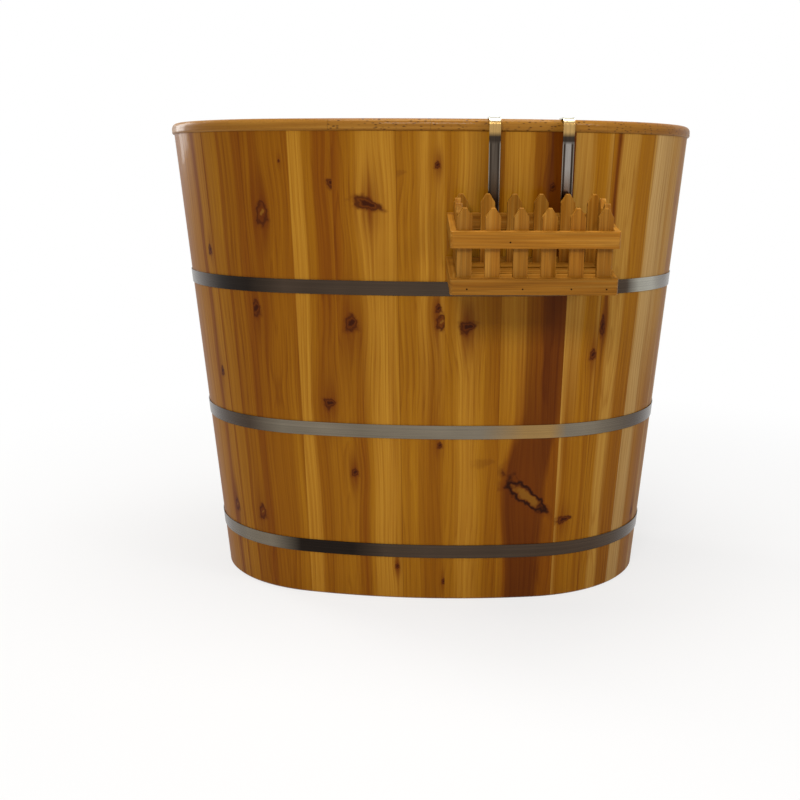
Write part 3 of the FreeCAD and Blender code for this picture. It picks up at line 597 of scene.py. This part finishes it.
# %% [markdown]
# ### One finish for each stave
# The layers go on in the order in which a board gets them: bands, rings and fibres grow, knots grow
# through them, and the glue line along both edges comes last. Each stave gets a material of its own, which
# costs a few more trees and lets every board differ.

# %% Stave finish
SEAM = (1.2 * MM, 0.3 * MM)
SEAM_STRENGTH = 0.45
# how far apart the boards lie in the noise
SEED_STEP = 3.7


def fir_stave(name, board, seed):
    """Planed China fir under clear gloss lacquer: deep and warm, glossy only at a glance along the wall."""
    material, tree, shader = new_finish("lacquered_fir_" + name, Coat_Weight=0.09, Coat_Roughness=0.1,
                                        Specular_IOR_Level=0.02, IOR=1.5)
    point = on_board(tree, name)
    bend_stripes(tree, point, board["knots"], seed)
    lay_grain(tree, point, seed)
    colour = band_tones(tree, point, board)
    shade = grain_shade(tree, point, late_wood(tree, point, board["pith"]))
    colour = add(tree, "VectorMath MULTIPLY", colour, shade)
    colour = draw_knots(tree, colour, point, board["knots"])
    # a thin dark line of glue and dirt along both edges
    edge = add(tree, "Math SUBTRACT", point.share, 0.5)
    edge = add(tree, "Math ABSOLUTE", edge)
    edge = add(tree, "MapRange", edge, *[0.5 - reach / point.width for reach in SEAM], 0, SEAM_STRENGTH)
    colour = add(tree, "Mix", {0: edge, 6: colour, 7: FIR["dark"]}, **BLEND)
    gloss = add(tree, "MapRange", point.fibres, 0, 1, 0.34, 0.54)
    relief = add(tree, "Bump", {"Strength": 0.12, "Distance": 0.4 * MM, "Height": point.fibres})
    paint(shader, Base_Color=colour, Roughness=gloss, Normal=relief)
    return material


for number, name in enumerate(stave_names):
    if name in BOARDS:
        dress(["stave_" + name], fir_stave(name, BOARDS[name], seed=number * SEED_STEP))
print("staves in view dressed:", len(BOARDS))

# %% [markdown]
# ### Boards out of view
# The boards behind came from the same pile, so each takes the bands of a board in view, perhaps turned
# over, and has knots of its own. Noting them one by one would take as long as the front and tell nothing
# new. Random numbers from a fixed seed give the same wall each time.

# %% Dress the other staves
# least and most of what a board's note says: share, height, radius and length of a knot, and the pith
KNOT_COUNTS = (1, 2, 3)
KNOT_LIMITS = ((0.15, 0.85), (60, 740), (3, 7), (1, 1.6))
PITH_LIMITS = ((-1, 2), (12, 60))
draw = random.Random(7)
patterns = sorted(BOARDS)
for number, name in enumerate(stave_names):
    if name in BOARDS:
        continue
    bands = BOARDS[draw.choice(patterns)]["bands"]
    if draw.random() < 0.5:
        bands = tuple((1 - place, tone) for place, tone in reversed(bands))
    knots = tuple((*[draw.uniform(*limits) for limits in KNOT_LIMITS], 0, 0)
                  for _ in range(draw.choice(KNOT_COUNTS)))
    pith = tuple(draw.uniform(*limits) for limits in PITH_LIMITS)
    board = {"bands": bands, "knots": knots, "pith": pith}
    dress(["stave_" + name], fir_stave(name, board, seed=number * SEED_STEP))
print("staves out of view dressed:", len(stave_names) - len(BOARDS))

# %% [markdown]
# ## Rim bead
# The bead that caps the staves is a row of short bent pieces with the grain along the rim, rounded over
# and lacquered like the wall. Grain along a curve needs the distance across the bead, which is the
# distance from the oval of four arcs that the wall is built on. A group of nodes works that out for any
# point, from the oval's length, its depth and the radius of its ends.

# %% Distance from the oval
HALF_LENGTH = 457.5 * MM
HALF_DEPTH = 327.5 * MM
END_RADIUS = 312 * MM
END_CENTRE = HALF_LENGTH - END_RADIUS
# the side arc touches the end arc, so its centre follows from both half sizes
side_rise = HALF_DEPTH - END_RADIUS
SIDE_CENTRE = (END_CENTRE ** 2 - side_rise ** 2) / (2 * side_rise)
SIDE_RADIUS = HALF_DEPTH + SIDE_CENTRE

oval = bpy.data.node_groups.new("Oval plan", "ShaderNodeTree")
oval.interface.new_socket("Point", in_out="INPUT", socket_type="NodeSocketVector")
oval.interface.new_socket("Distance", in_out="OUTPUT", socket_type="NodeSocketFloat")
place = oval.nodes.new("NodeGroupInput").outputs["Point"]
flat = add(oval, "VectorMath MULTIPLY", place, (1, 1, 0))
quarter = add(oval, "VectorMath ABSOLUTE", flat)
to_end = add(oval, "VectorMath DISTANCE", quarter, (END_CENTRE, 0, 0), out="Value")
to_end = add(oval, "Math SUBTRACT", to_end, END_RADIUS)
to_side = add(oval, "VectorMath DISTANCE", quarter, (0, -SIDE_CENTRE, 0), out="Value")
to_side = add(oval, "Math SUBTRACT", to_side, SIDE_RADIUS)
# beyond the line through both centres the end arc counts
beyond = add(oval, "VectorMath DOT_PRODUCT", quarter, (SIDE_CENTRE, -END_CENTRE, 0), out="Value")
at_end = add(oval, "Math GREATER_THAN", beyond, END_CENTRE * SIDE_CENTRE)
distance = add(oval, "Mix", {0: at_end, 2: to_side, 3: to_end})
oval.links.new(distance, oval.nodes.new("NodeGroupOutput").inputs["Distance"])
print("side arc's radius:", round(SIDE_RADIUS / MM, 2), "mm")

# %% [markdown]
# ### The bead's finish
# A moulding cutter tears the grain here and there, and dirt darkens the tears. Each could be carved, but
# stretched Voronoi cells give such short flecks, in patches, darker on some pieces than on others.

# %% Rim finish
BEAD_GRAIN = 6 * MM
BEAD_RUN = 1 / 3
FLECK_LENGTH = 9 * MM
FLECK_HEIGHT = 3.5 * MM
FLECK_PATCH = 45 * MM
# a fleck fades between these distances from its cell's middle, and a patch between these values of noise
FLECK_EDGE = (0.16, 0.34)
PATCH_EDGE = (0.4, 0.55)
FLECKS = {"front": 0.85, "right": 0.7, "back": 0.4, "left": 0.1}


def rim_bead(name, flecks):
    """Moulded fir bead under clear lacquer: even honey, with dark flecks where the cutter tore the grain."""
    material, tree, shader = new_finish("lacquered_bead_" + name, Coat_Weight=0.14, Coat_Roughness=0.12,
                                        Specular_IOR_Level=0.03, IOR=1.5)
    here = add(tree, "TexCoord", out="Object")
    distance = add(tree, "Group", {"Point": here}, node_tree=oval)
    distance = add(tree, "Math MULTIPLY", distance, 1 / BEAD_GRAIN)
    along = add(tree, "VectorMath MULTIPLY", here, (1 / BEAD_RUN, 1 / BEAD_RUN, 1 / BEAD_GRAIN))
    grain = {"Vector": along, "W": distance, "Scale": 1, "Detail": 3, "Roughness": 0.6}
    grain = add(tree, "TexNoise", grain, noise_dimensions="4D")
    colour = add(tree, "ValToRGB", grain, stops=[
        (0.3, linear("#7F4F14")), (0.5, linear("#90601E")), (0.7, linear("#A1712D"))])
    dashes = add(tree, "VectorMath MULTIPLY", here, (1 / FLECK_LENGTH, 1 / FLECK_LENGTH, 1 / FLECK_HEIGHT))
    fleck = add(tree, "TexVoronoi", {"Vector": dashes, "Scale": 1})
    fleck = add(tree, "MapRange", fleck, *FLECK_EDGE, flecks, 0)
    patchy = add(tree, "TexNoise", {"Vector": here, "Scale": 1 / FLECK_PATCH, "Detail": 1})
    patchy = add(tree, "MapRange", patchy, *PATCH_EDGE)
    fleck = add(tree, "Math MULTIPLY", fleck, patchy)
    colour = add(tree, "Mix", {0: fleck, 6: colour, 7: linear("#45230A")}, **BLEND)
    gloss = add(tree, "MapRange", grain, 0, 1, 0.34, 0.5)
    paint(shader, Base_Color=colour, Roughness=gloss)
    return material


for side, flecks in FLECKS.items():
    dress(["rim_" + side], rim_bead(side, flecks))
print("stretches of rim dressed:", len(FLECKS))

# %% [markdown]
# ## Steel
# The hoops are cold-rolled stainless strip: smooth, grey and mirror-like along the strip, with faint lines
# from the rolls. A mirror alone would show the empty room, so the strip's own tones change along it, by
# where
# they lie on the bucket: painted reflections, dark in some stretches, bright in others and tan like warm
# wood.

# %% Rolled steel
# rolling lines are far finer than this: 2 mm is the finest that shows in the picture
ROLL_LINE = 2 * MM
ROLL_RUN = 1 / 3
SMEAR = 110 * MM
STRETCH_SHIFT = 0.04


def rolled_steel(name, tones, rough):
    """Cold-rolled stainless: a grey mirror, blurred a little, with broad dull smears along the strip."""
    material, tree, shader = new_finish(name, Metallic=1.0)
    here = add(tree, "TexCoord", out="Object")
    rolled = add(tree, "VectorMath MULTIPLY", here, (1 / ROLL_RUN, 1 / ROLL_RUN, 1 / ROLL_LINE))
    lines = add(tree, "TexNoise", {"Vector": rolled, "Scale": 1, "Detail": 3, "Roughness": 0.7})
    smears = add(tree, "TexNoise", {"Vector": here, "Scale": 1 / SMEAR, "Detail": 2})
    # stretches of the strip, from the bucket's left end to its right one: on the hoops their tones are
    # painted reflections
    length = add(tree, "SeparateXYZ", here, out="X")
    length = add(tree, "MapRange", length, cad_low[0], cad_high[0])
    length = add(tree, "Math MULTIPLY_ADD", smears, STRETCH_SHIFT, length)
    length = add(tree, "Math SUBTRACT", length, STRETCH_SHIFT / 2)
    colour = add(tree, "ValToRGB", length, stops=[(place, linear(tone)) for place, tone in tones])
    dull = add(tree, "Math ADD", smears, lines)
    dull = add(tree, "MapRange", dull, 0.7, 1.3, 0.8, 1.2)
    colour = add(tree, "VectorMath SCALE", {0: colour, "Scale": dull})
    haze = add(tree, "Math MULTIPLY_ADD", lines, 0.14, rough)
    relief = add(tree, "Bump", {"Strength": 0.05, "Distance": 0.1 * MM, "Height": lines})
    paint(shader, Base_Color=colour, Roughness=haze, Normal=relief)
    return material


fasteners = ["hoop_rivets", "caddy_screws"]
dress(fasteners, rolled_steel("stainless_fasteners", ((0, "#7D776F"), (1, "#938C84")), 0.28))
print("rows of fasteners dressed:", len(fasteners))

# %% Hoops
# painted reflections: each stretch of strip takes a tone for what it mirrors, from dark to bright, and tan
# like warm wood
HOOP_REFLECTION_TONES = {"dark": "#241E1A", "dull": "#463A30", "grey": "#756C5E", "tan": "#96774A", "bright": "#98958A"}
# stretches are (share of the bucket's length from its left end, tone of the painted reflection)
HOOP_PAINTED_REFLECTIONS = {
    "top": ((0.08, "dull"), (0.14, "dark"), (0.2, "dark"), (0.27, "dull"), (0.87, "dull"), (0.895, "bright"),
            (0.925, "bright"), (0.95, "dull")),
    "middle": ((0.1, "dull"), (0.18, "dull"), (0.25, "grey"), (0.62, "grey"), (0.69, "tan"), (0.74, "tan"),
               (0.77, "grey"), (0.82, "grey"), (0.9, "dull")),
    "bottom": ((0.1, "dull"), (0.16, "grey"), (0.22, "grey"), (0.28, "dark"), (0.38, "dark"), (0.44, "dull"),
               (0.9, "dull"), (1.0, "grey")),
}
for hoop, stretches in HOOP_PAINTED_REFLECTIONS.items():
    tones = [(share, HOOP_REFLECTION_TONES[tone]) for share, tone in stretches]
    dress(["hoop_" + hoop], rolled_steel("cold_rolled_strip_painted_reflections_" + hoop, tones, 0.2))
print("hoops dressed:", len(HOOP_PAINTED_REFLECTIONS))

# %% [markdown]
# ## Caddy
# The caddy hangs on the leaning front wall, so it is turned a little and tipped, and its grain runs along
# its own axes. They could be typed in again, but the joint along which it lifts off already holds them.

# %% The caddy's own axes
lift = Vector(next(joint["axis"] for joint in frame["joints"] if joint["child"] == "caddy"))
caddy_turn = Euler((math.acos(lift.z), 0, math.atan2(lift.x, -lift.y)))
to_caddy = caddy_turn.to_matrix().inverted()


def caddy_box(name):
    """Lowest and highest corner of a caddy piece along the caddy's own axes."""
    points = [to_caddy @ v.co for v in nodes[name].data.vertices]
    return [Vector([pick(p[axis] for p in points) for axis in range(3)]) for pick in (min, max)]


caddy_origin = caddy_turn.to_matrix() @ caddy_box("caddy_back_bottom_rail")[0]
print("caddy tipped and turned, degrees:", [round(math.degrees(angle), 1) for angle in caddy_turn])

# %% [markdown]
# ### Straps
# Two straps of bright stainless channel hook over the rim. Dirt and painted shade darken the corners of the
# channel, painted shade darkens the fold below the rim, the rubbed lips are lighter with a painted
# highlight, and the bend over the rim carries a painted reflection of warm wood with a painted highlight on
# top. The trough itself is modelled in the CAD, so the finish only says what tone each part of it takes, by
# height and by place across, and the trough's own tone is a painted reflection, darker on the left strap
# than the right.

# %% Strap finish
RIM_TOP = max(v.co.z for v in nodes["rim_front"].data.vertices)
STRAP_RUN = 125 * MM
# heights are shares of the run: above the straight trough comes a fold of painted shade, then the bend
# with its painted reflection of warm wood, and at its top a painted highlight
TROUGH = (0.4, 0.69)
SHADED_FOLD = (0.73, 0.78)
BEND = (0.84, 0.95)
BEND_TOP = 0.99
STRAP_DIRT_AND_SHADE = "#3C332B"
STRAP_LIP_AND_HIGHLIGHT = "#8F867A"
STRAP_BEND_REFLECTION = "#B8945A"
STRAP_TOP_HIGHLIGHT = "#BEB9A0"
# from the middle of the channel to its edge: where dirt with painted shade begins in the corners,
# and where the rubbed lips with their painted highlight begin
ACROSS_STRAP = ((0.45, STRAP_DIRT_AND_SHADE), (0.82, STRAP_LIP_AND_HIGHLIGHT))
SOFT_EDGE = 0.1
SCUFF_WIDTH = 1.5 * MM
SCUFF_LENGTH = 60 * MM


def bent_channel(side, trough_reflection, foot):
    """Bright stainless channel: rubbed lips with a painted highlight, dirt and painted shade in its corners,
    painted shade in its fold, and a painted reflection of warm wood and a painted highlight on the bend.
    """
    material, tree, shader = new_finish("stainless_channel_painted_light_" + side, Metallic=1.0)
    low, high = caddy_box(f"caddy_{side}_strap")
    here = add(tree, "TexCoord", out="Object")
    local = add(tree, "Mapping", {"Vector": here, "Rotation": caddy_turn}, vector_type="TEXTURE")
    height = add(tree, "SeparateXYZ", here, out="Z")
    height = add(tree, "MapRange", height, RIM_TOP - STRAP_RUN, RIM_TOP)
    tones = ((0.0, foot), (TROUGH[0], trough_reflection), (TROUGH[1], trough_reflection), (SHADED_FOLD[0], STRAP_DIRT_AND_SHADE),
             (SHADED_FOLD[1], STRAP_DIRT_AND_SHADE), (BEND[0], STRAP_BEND_REFLECTION), (BEND[1], STRAP_BEND_REFLECTION), (BEND_TOP, STRAP_TOP_HIGHLIGHT))
    colour = add(tree, "ValToRGB", height, stops=[(place, linear(tone)) for place, tone in tones])
    straight = add(tree, "MapRange", height, SHADED_FOLD[0], TROUGH[1])
    off = add(tree, "SeparateXYZ", local, out="X")
    off = add(tree, "Math SUBTRACT", off, (low.x + high.x) / 2)
    off = add(tree, "Math ABSOLUTE", off)
    off = add(tree, "MapRange", off, 0, (high.x - low.x) / 2)
    for start, tone in ACROSS_STRAP:
        part = add(tree, "MapRange", off, start, start + SOFT_EDGE)
        part = add(tree, "Math MULTIPLY", part, straight)
        colour = add(tree, "Mix", {0: part, 6: colour, 7: linear(tone)}, **BLEND)
    scuffs = add(tree, "VectorMath MULTIPLY", local, (1 / SCUFF_WIDTH, 1 / SCUFF_WIDTH, 1 / SCUFF_LENGTH))
    scuffs = add(tree, "TexNoise", {"Vector": scuffs, "Scale": 1, "Detail": 3})
    dim = add(tree, "MapRange", scuffs, *NOISE_ENDS, 0.8, 1.15)
    colour = add(tree, "VectorMath SCALE", {0: colour, "Scale": dim})
    gloss = add(tree, "MapRange", scuffs, 0, 1, 0.1, 0.3)
    paint(shader, Base_Color=colour, Roughness=gloss)
    return material


# the trough tones are painted reflections: the left strap mirrors darker things than the right one
dress(["caddy_left_strap"], bent_channel("left", "#544A40", "#4E3A26"))
dress(["caddy_right_strap"], bent_channel("right", "#96908A", "#705238"))
print("straps dressed, rim top at", round(RIM_TOP / MM, 1), "mm")

# %% [markdown]
# ### Laths
# The caddy is a little picket fence of planed pine laths under satin lacquer. Every lath has its own tone
# and its grain along its own length. Each lath could have a material, but they were cut from the same few
# boards, so one finish serves a whole row: cells a lath wide tell the laths apart.

# %% Lath finish
LATH_GRAIN = 3 * MM
LATH_RUN = 160 * MM
CELL_SHIFT = 900.0
# stripes are twice as wide as the grain, and the lines in them finer than it
STRIPE_SCALE = 0.5
LINE_SCALE = 1.6


def pine_lath(name, grain_axis, cell):
    """Planed pine under satin lacquer: honey-coloured, with soft stripes along the lath."""
    material, tree, shader = new_finish("satin_pine_" + name, Coat_Weight=0.08, Coat_Roughness=0.2,
                                        Specular_IOR_Level=0.05, IOR=1.5)
    here = add(tree, "TexCoord", out="Object")
    here = add(tree, "Mapping", {"Vector": here, "Location": caddy_origin, "Rotation": caddy_turn},
               vector_type="TEXTURE")
    lath = add(tree, "VectorMath SNAP", here, cell)
    tone = add(tree, "TexWhiteNoise", {"Vector": lath})
    stretch = [1 / LATH_GRAIN] * 3
    stretch[grain_axis] = 1 / LATH_RUN
    grain = add(tree, "VectorMath MULTIPLY", here, stretch)
    shifted = add(tree, "VectorMath SCALE", {0: lath, "Scale": CELL_SHIFT})
    grain = add(tree, "VectorMath ADD", grain, shifted)
    stripes = add(tree, "TexNoise", {"Vector": grain, "Scale": STRIPE_SCALE, "Detail": 3, "Distortion": 0.3})
    lines = add(tree, "TexNoise", {"Vector": grain, "Scale": LINE_SCALE, "Detail": 2})
    colour = add(tree, "ValToRGB", stripes, stops=[
        (0.3, linear("#85500F")), (0.5, linear("#99631B")), (0.7, linear("#AA772E"))])
    dim = add(tree, "MapRange", tone, 0, 1, 0.84, 1.12)
    colour = add(tree, "VectorMath SCALE", {0: colour, "Scale": dim})
    dim = add(tree, "MapRange", lines, 0.4, 0.65, 1.06, 0.8)
    colour = add(tree, "VectorMath SCALE", {0: colour, "Scale": dim})
    gloss = add(tree, "MapRange", lines, 0, 1, 0.38, 0.52)
    relief = add(tree, "Bump", {"Strength": 0.15, "Distance": 0.3 * MM, "Height": lines})
    paint(shader, Base_Color=colour, Roughness=gloss, Normal=relief)
    return material


# cells of the rows: longer than a lath, deeper than a row, higher than a rail, and one picket or slat wide
LONG = 1.0
ROW_DEPTH = 70 * MM
RAIL_RISE = 50 * MM
PICKET_PITCH = 41.2 * MM
SLAT_PITCH = 34 * MM
rails = ["caddy_front_top_rail", "caddy_front_bottom_rail", "caddy_back_top_rail", "caddy_back_bottom_rail"]
side_rails = ["caddy_left_rails", "caddy_right_rails"]
pickets = ["caddy_front_pickets", "caddy_back_pickets", "caddy_side_pickets"]
slats = ["caddy_floor_slats"]
dress(rails, pine_lath("long_rails", 0, (LONG, ROW_DEPTH, RAIL_RISE)))
dress(side_rails, pine_lath("side_rails", 1, (ROW_DEPTH, LONG, RAIL_RISE)))
dress(pickets, pine_lath("pickets", 2, (PICKET_PITCH, ROW_DEPTH, LONG)))
dress(slats, pine_lath("slats", 0, (LONG, SLAT_PITCH, LONG)))
laths = [*rails, *side_rails, *pickets, *slats]
print("rows of laths dressed:", len(laths))

# %% [markdown]
# ### Eased edges
# Laths are sanded after planing, so their edges are eased by less than a millimetre and catch the light.
# They could be cut in the CAD, but a bevel modifier does it here without touching the CAD mesh.

# %% Ease the edges
SHARP = math.radians(40)
EASE = 0.7 * MM
FACET_GAP = 0.01 * MM
for name in laths:
    weld = nodes[name].modifiers.new("join the facets", "WELD")
    weld.merge_threshold = FACET_GAP
    bevel = nodes[name].modifiers.new("sanded edges", "BEVEL")
    bevel.width = EASE
    bevel.segments = 2
    bevel.limit_method = "ANGLE"
    bevel.angle_limit = SHARP
print("rows with edges eased by", round(EASE / MM, 2), "mm:", len(laths))

# %% [markdown]
# ### Brads
# Small wire brads hold the pickets, and a few of their heads show on the front rails. They could be dark
# spots in the lath's finish, but a head stands a little proud and catches light, so each is a low cone.

# %% Brads
BRAD_RADIUS = 1.5 * MM
BRAD_PROUD = 0.1 * MM
BRAD_CROWN = 0.8
BRAD_SIDES = 14
BRAD_RISE = 0.37
RUST_SPOT = 2 * MM
BRAD_PLACES = {"caddy_front_bottom_rail": (0.1, 0.43, 0.72, 0.93), "caddy_front_top_rail": (0.35,)}

brad_mesh = bmesh.new()
for rail, shares in BRAD_PLACES.items():
    low, high = caddy_box(rail)
    for share in shares:
        spot = Vector((low.x + share * (high.x - low.x), low.y, low.z + BRAD_RISE * (high.z - low.z)))
        stand = Matrix.Translation(spot) @ Matrix.Rotation(math.pi / 2, 4, "X")
        stand = caddy_turn.to_matrix().to_4x4() @ stand
        bmesh.ops.create_cone(brad_mesh, cap_ends=True, segments=BRAD_SIDES, radius1=BRAD_RADIUS,
                              radius2=BRAD_RADIUS * BRAD_CROWN, depth=2 * BRAD_PROUD, matrix=stand)
brads = bpy.data.objects.new("caddy_brads", bpy.data.meshes.new("caddy_brads"))
brad_mesh.to_mesh(brads.data)
brad_mesh.free()
bpy.context.scene.collection.objects.link(brads)
# bright wire that has gone brown under the lacquer: a small dark dot to the eye
brown_wire, tree, shader = new_finish("tarnished_steel_wire", Metallic=1.0, Roughness=0.5)
rust = add(tree, "TexNoise", {"Vector": add(tree, "TexCoord", out="Object"), "Scale": 1 / RUST_SPOT})
rust = add(tree, "ValToRGB", rust, stops=[(0.3, linear("#1C0F06")), (0.7, linear("#38220F"))])
paint(shader, Base_Color=rust)
brads.data.materials.append(brown_wire)
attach(brads, "caddy")
print("brads:", sum(len(shares) for shares in BRAD_PLACES.values()))

# %% [markdown]
# ## Floor of the bucket
# Inside, the floor is plain fir boards on bearers that run the other way. They are seen from far off and
# in shade, so noise that is drawn out along the grain is enough, with its own place in it for each board.

# %% Floor boards and bearers
PLANK_STRIPE = 9 * MM
PLANK_RUN = 700 * MM
LINES_IN_STRIPE = 4
FLOOR_BOARDS = 5
PLANK_SEED_STEP = 5.3
BEARER_SEED = 31.0


def fir_plank(name, grain_axis, seed):
    """Planed fir under thin lacquer: a duller, paler wood than the wall."""
    material, tree, shader = new_finish("planed_fir_" + name, Coat_Weight=0.15, Coat_Roughness=0.25,
                                        Specular_IOR_Level=0.15, IOR=1.5)
    here = add(tree, "TexCoord", out="Object")
    stretch = [1 / PLANK_STRIPE] * 3
    stretch[grain_axis] = 1 / PLANK_RUN
    grain = add(tree, "Mapping", {"Vector": here, "Location": (seed, seed, seed), "Scale": stretch})
    stripes = add(tree, "TexNoise", {"Vector": grain, "Scale": 1, "Detail": 4, "Distortion": 0.2})
    lines = add(tree, "TexNoise", {"Vector": grain, "Scale": LINES_IN_STRIPE, "Detail": 2})
    colour = add(tree, "ValToRGB", stripes, stops=[
        (0.3, FIR["amber"]), (0.5, FIR["honey"]), (0.7, FIR["pale"])])
    dim = add(tree, "MapRange", lines, 0.45, 0.7, 1.05, 0.75)
    colour = add(tree, "VectorMath SCALE", {0: colour, "Scale": dim})
    gloss = add(tree, "MapRange", lines, 0, 1, 0.42, 0.6)
    paint(shader, Base_Color=colour, Roughness=gloss)
    return material


for number in range(1, FLOOR_BOARDS + 1):
    dress([f"floor_board_{number}"], fir_plank(f"board_{number}", 0, number * PLANK_SEED_STEP))
dress(["floor_bearers"], fir_plank("bearers", 1, BEARER_SEED))
print("floor boards dressed:", FLOOR_BOARDS)

# %% [markdown]
# ## Drain
# The drain is chromed brass with a black rubber plug and gasket. Both are one colour all over, so only the
# gloss is painted: water marks on the chrome and a bloom on the rubber break up what would look like new.

# %% Drain
CHROME = linear("#D5D6D8")
RUBBER = linear("#1E1E1E")
WATER_MARK = 8 * MM
BLOOM = 3 * MM
# chrome plate on brass: a cool mirror with dried water marks
chrome, tree, shader = new_finish("chromed_brass", Metallic=1.0, Base_Color=CHROME)
here = add(tree, "TexCoord", out="Object")
marks = add(tree, "TexNoise", {"Vector": here, "Scale": 1 / WATER_MARK, "Detail": 3})
paint(shader, Roughness=add(tree, "MapRange", marks, 0, 1, 0.04, 0.16))
dress(["drain_body", "drain_locknut", "plug_knob"], chrome)
# moulded rubber: matt black with a grey bloom
rubber, tree, shader = new_finish("moulded_black_rubber", Base_Color=RUBBER, IOR=1.52)
here = add(tree, "TexCoord", out="Object")
bloom = add(tree, "TexNoise", {"Vector": here, "Scale": 1 / BLOOM, "Detail": 3})
paint(shader, Roughness=add(tree, "MapRange", bloom, 0, 1, 0.5, 0.75))
dress(["drain_gasket", "drain_plug"], rubber)
print("drain dressed: chrome gives back", round(CHROME[0], 3), "of red light, rubber", round(RUBBER[0], 3))

# %% [markdown]
# ## Floor, light and backdrop
# The bucket stands on a pale floor in a white room. White could come from strong lamps, but they would
# wash out the wood, so the floor and the world show white only to the eye and in reflections, while the
# lamps stay at a plain level. Near the bucket the floor keeps its shadow.

# %% Studio floor
FLOOR_REACH = 30
SHADOW_END = (0.4, 1.8)
WHITE_SHARE = (0.7, 1.0)


def seen_ray(tree):
    """1 for rays from the eye, straight or by way of a mirror or a clear surface, and 0 for the others."""
    path = add(tree, "LightPath").node.outputs
    seen = add(tree, "Math MAXIMUM", path["Is Camera Ray"], path["Is Glossy Ray"])
    return add(tree, "Math MAXIMUM", seen, path["Is Transmission Ray"])


floor_mesh = bpy.data.meshes.new("studio_floor")
corners = [(x * FLOOR_REACH, y * FLOOR_REACH, 0) for x, y in ((-1, -1), (1, -1), (1, 1), (-1, 1))]
floor_mesh.from_pydata(corners, [], [(0, 1, 2, 3)])
studio_floor = bpy.data.objects.new("studio_floor", floor_mesh)
bpy.context.scene.collection.objects.link(studio_floor)
# matt painted floor: pale and even, with no shine of its own
pale_floor, tree, shader = new_finish("pale_studio_floor", Base_Color=linear("#E6E4E1"), Roughness=0.9,
                                      Specular_IOR_Level=0.1)
away = add(tree, "VectorMath LENGTH", add(tree, "TexCoord", out="Object"), out="Value")
white = add(tree, "MapRange", away, *SHADOW_END, *WHITE_SHARE, interpolation_type="SMOOTHSTEP")
white = add(tree, "Math MULTIPLY", white, seen_ray(tree))
glow = add(tree, "Emission", {"Color": linear("#FFFFFF"), "Strength": 1.0})
surface = add(tree, "MixShader", white, shader.outputs[0], glow)
tree.links.new(surface, tree.nodes["Material Output"].inputs["Surface"])
floor_mesh.materials.append(pale_floor)
studio_floor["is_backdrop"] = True
print("floor laid:", 2 * FLOOR_REACH, "m wide")

# %% [markdown]
# ### World and lamps
# Four soft lamps stand in for a bright room: a broad one before the bucket, the ceiling, a small one at
# the right front and a window behind at the left. The white world adds a little fill. A picture of a room
# could light it too, but lamps are easier to change one at a time.

# %% World and lamps
FILL = 0.2
# name, place, aim, width and height in metres, watts
LAMPS = (
    ("key", (-0.2, -4.2, 2.5), (0, -0.3, 0.45), (1.6, 0.9), 95),
    ("ceiling", (0, -0.3, 2.8), (0, -0.3, 0), (1.6, 1.6), 52),
    ("front right", (1.3, -1.1, 1.5), (0.35, -0.1, 0.7), (0.5, 0.5), 7),
    ("window", (-2.4, 1.5, 1.3), (-0.3, 0, 0.6), (0.8, 1.4), 32),
)
world = bpy.data.worlds.new("studio")
bpy.context.scene.world = world
world.use_nodes = True
sky = world.node_tree
background = sky.nodes["Background"]
background.inputs["Color"].default_value = linear("#FFFFFF")
strength = add(sky, "MapRange", seen_ray(sky), 0, 1, FILL, 1.0)
sky.links.new(strength, background.inputs["Strength"])
for name, spot, aim, (width, height), watts in LAMPS:
    lamp = bpy.data.objects.new(name, bpy.data.lights.new(name, "AREA"))
    bpy.context.scene.collection.objects.link(lamp)
    lamp.data.shape = "RECTANGLE"
    lamp.data.size = width
    lamp.data.size_y = height
    lamp.data.energy = watts
    lamp.location = spot
    lamp.rotation_euler = (Vector(aim) - Vector(spot)).to_track_quat("-Z", "Y").to_euler()
bpy.context.scene.view_settings.view_transform = "Standard"
print("lamps:", len(LAMPS), "with", sum(watts for *_, watts in LAMPS), "watts in all")

# %% [markdown]
# ## Measure
# A finish must not change the size of the thing. So the box of what was dressed is measured again and kept
# beside the CAD box, where the two can be compared.

# %% Measure and finish
bpy.context.view_layer.update()
low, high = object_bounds()
print("visual box:", [round(v, 4) for v in (*low, *high)])
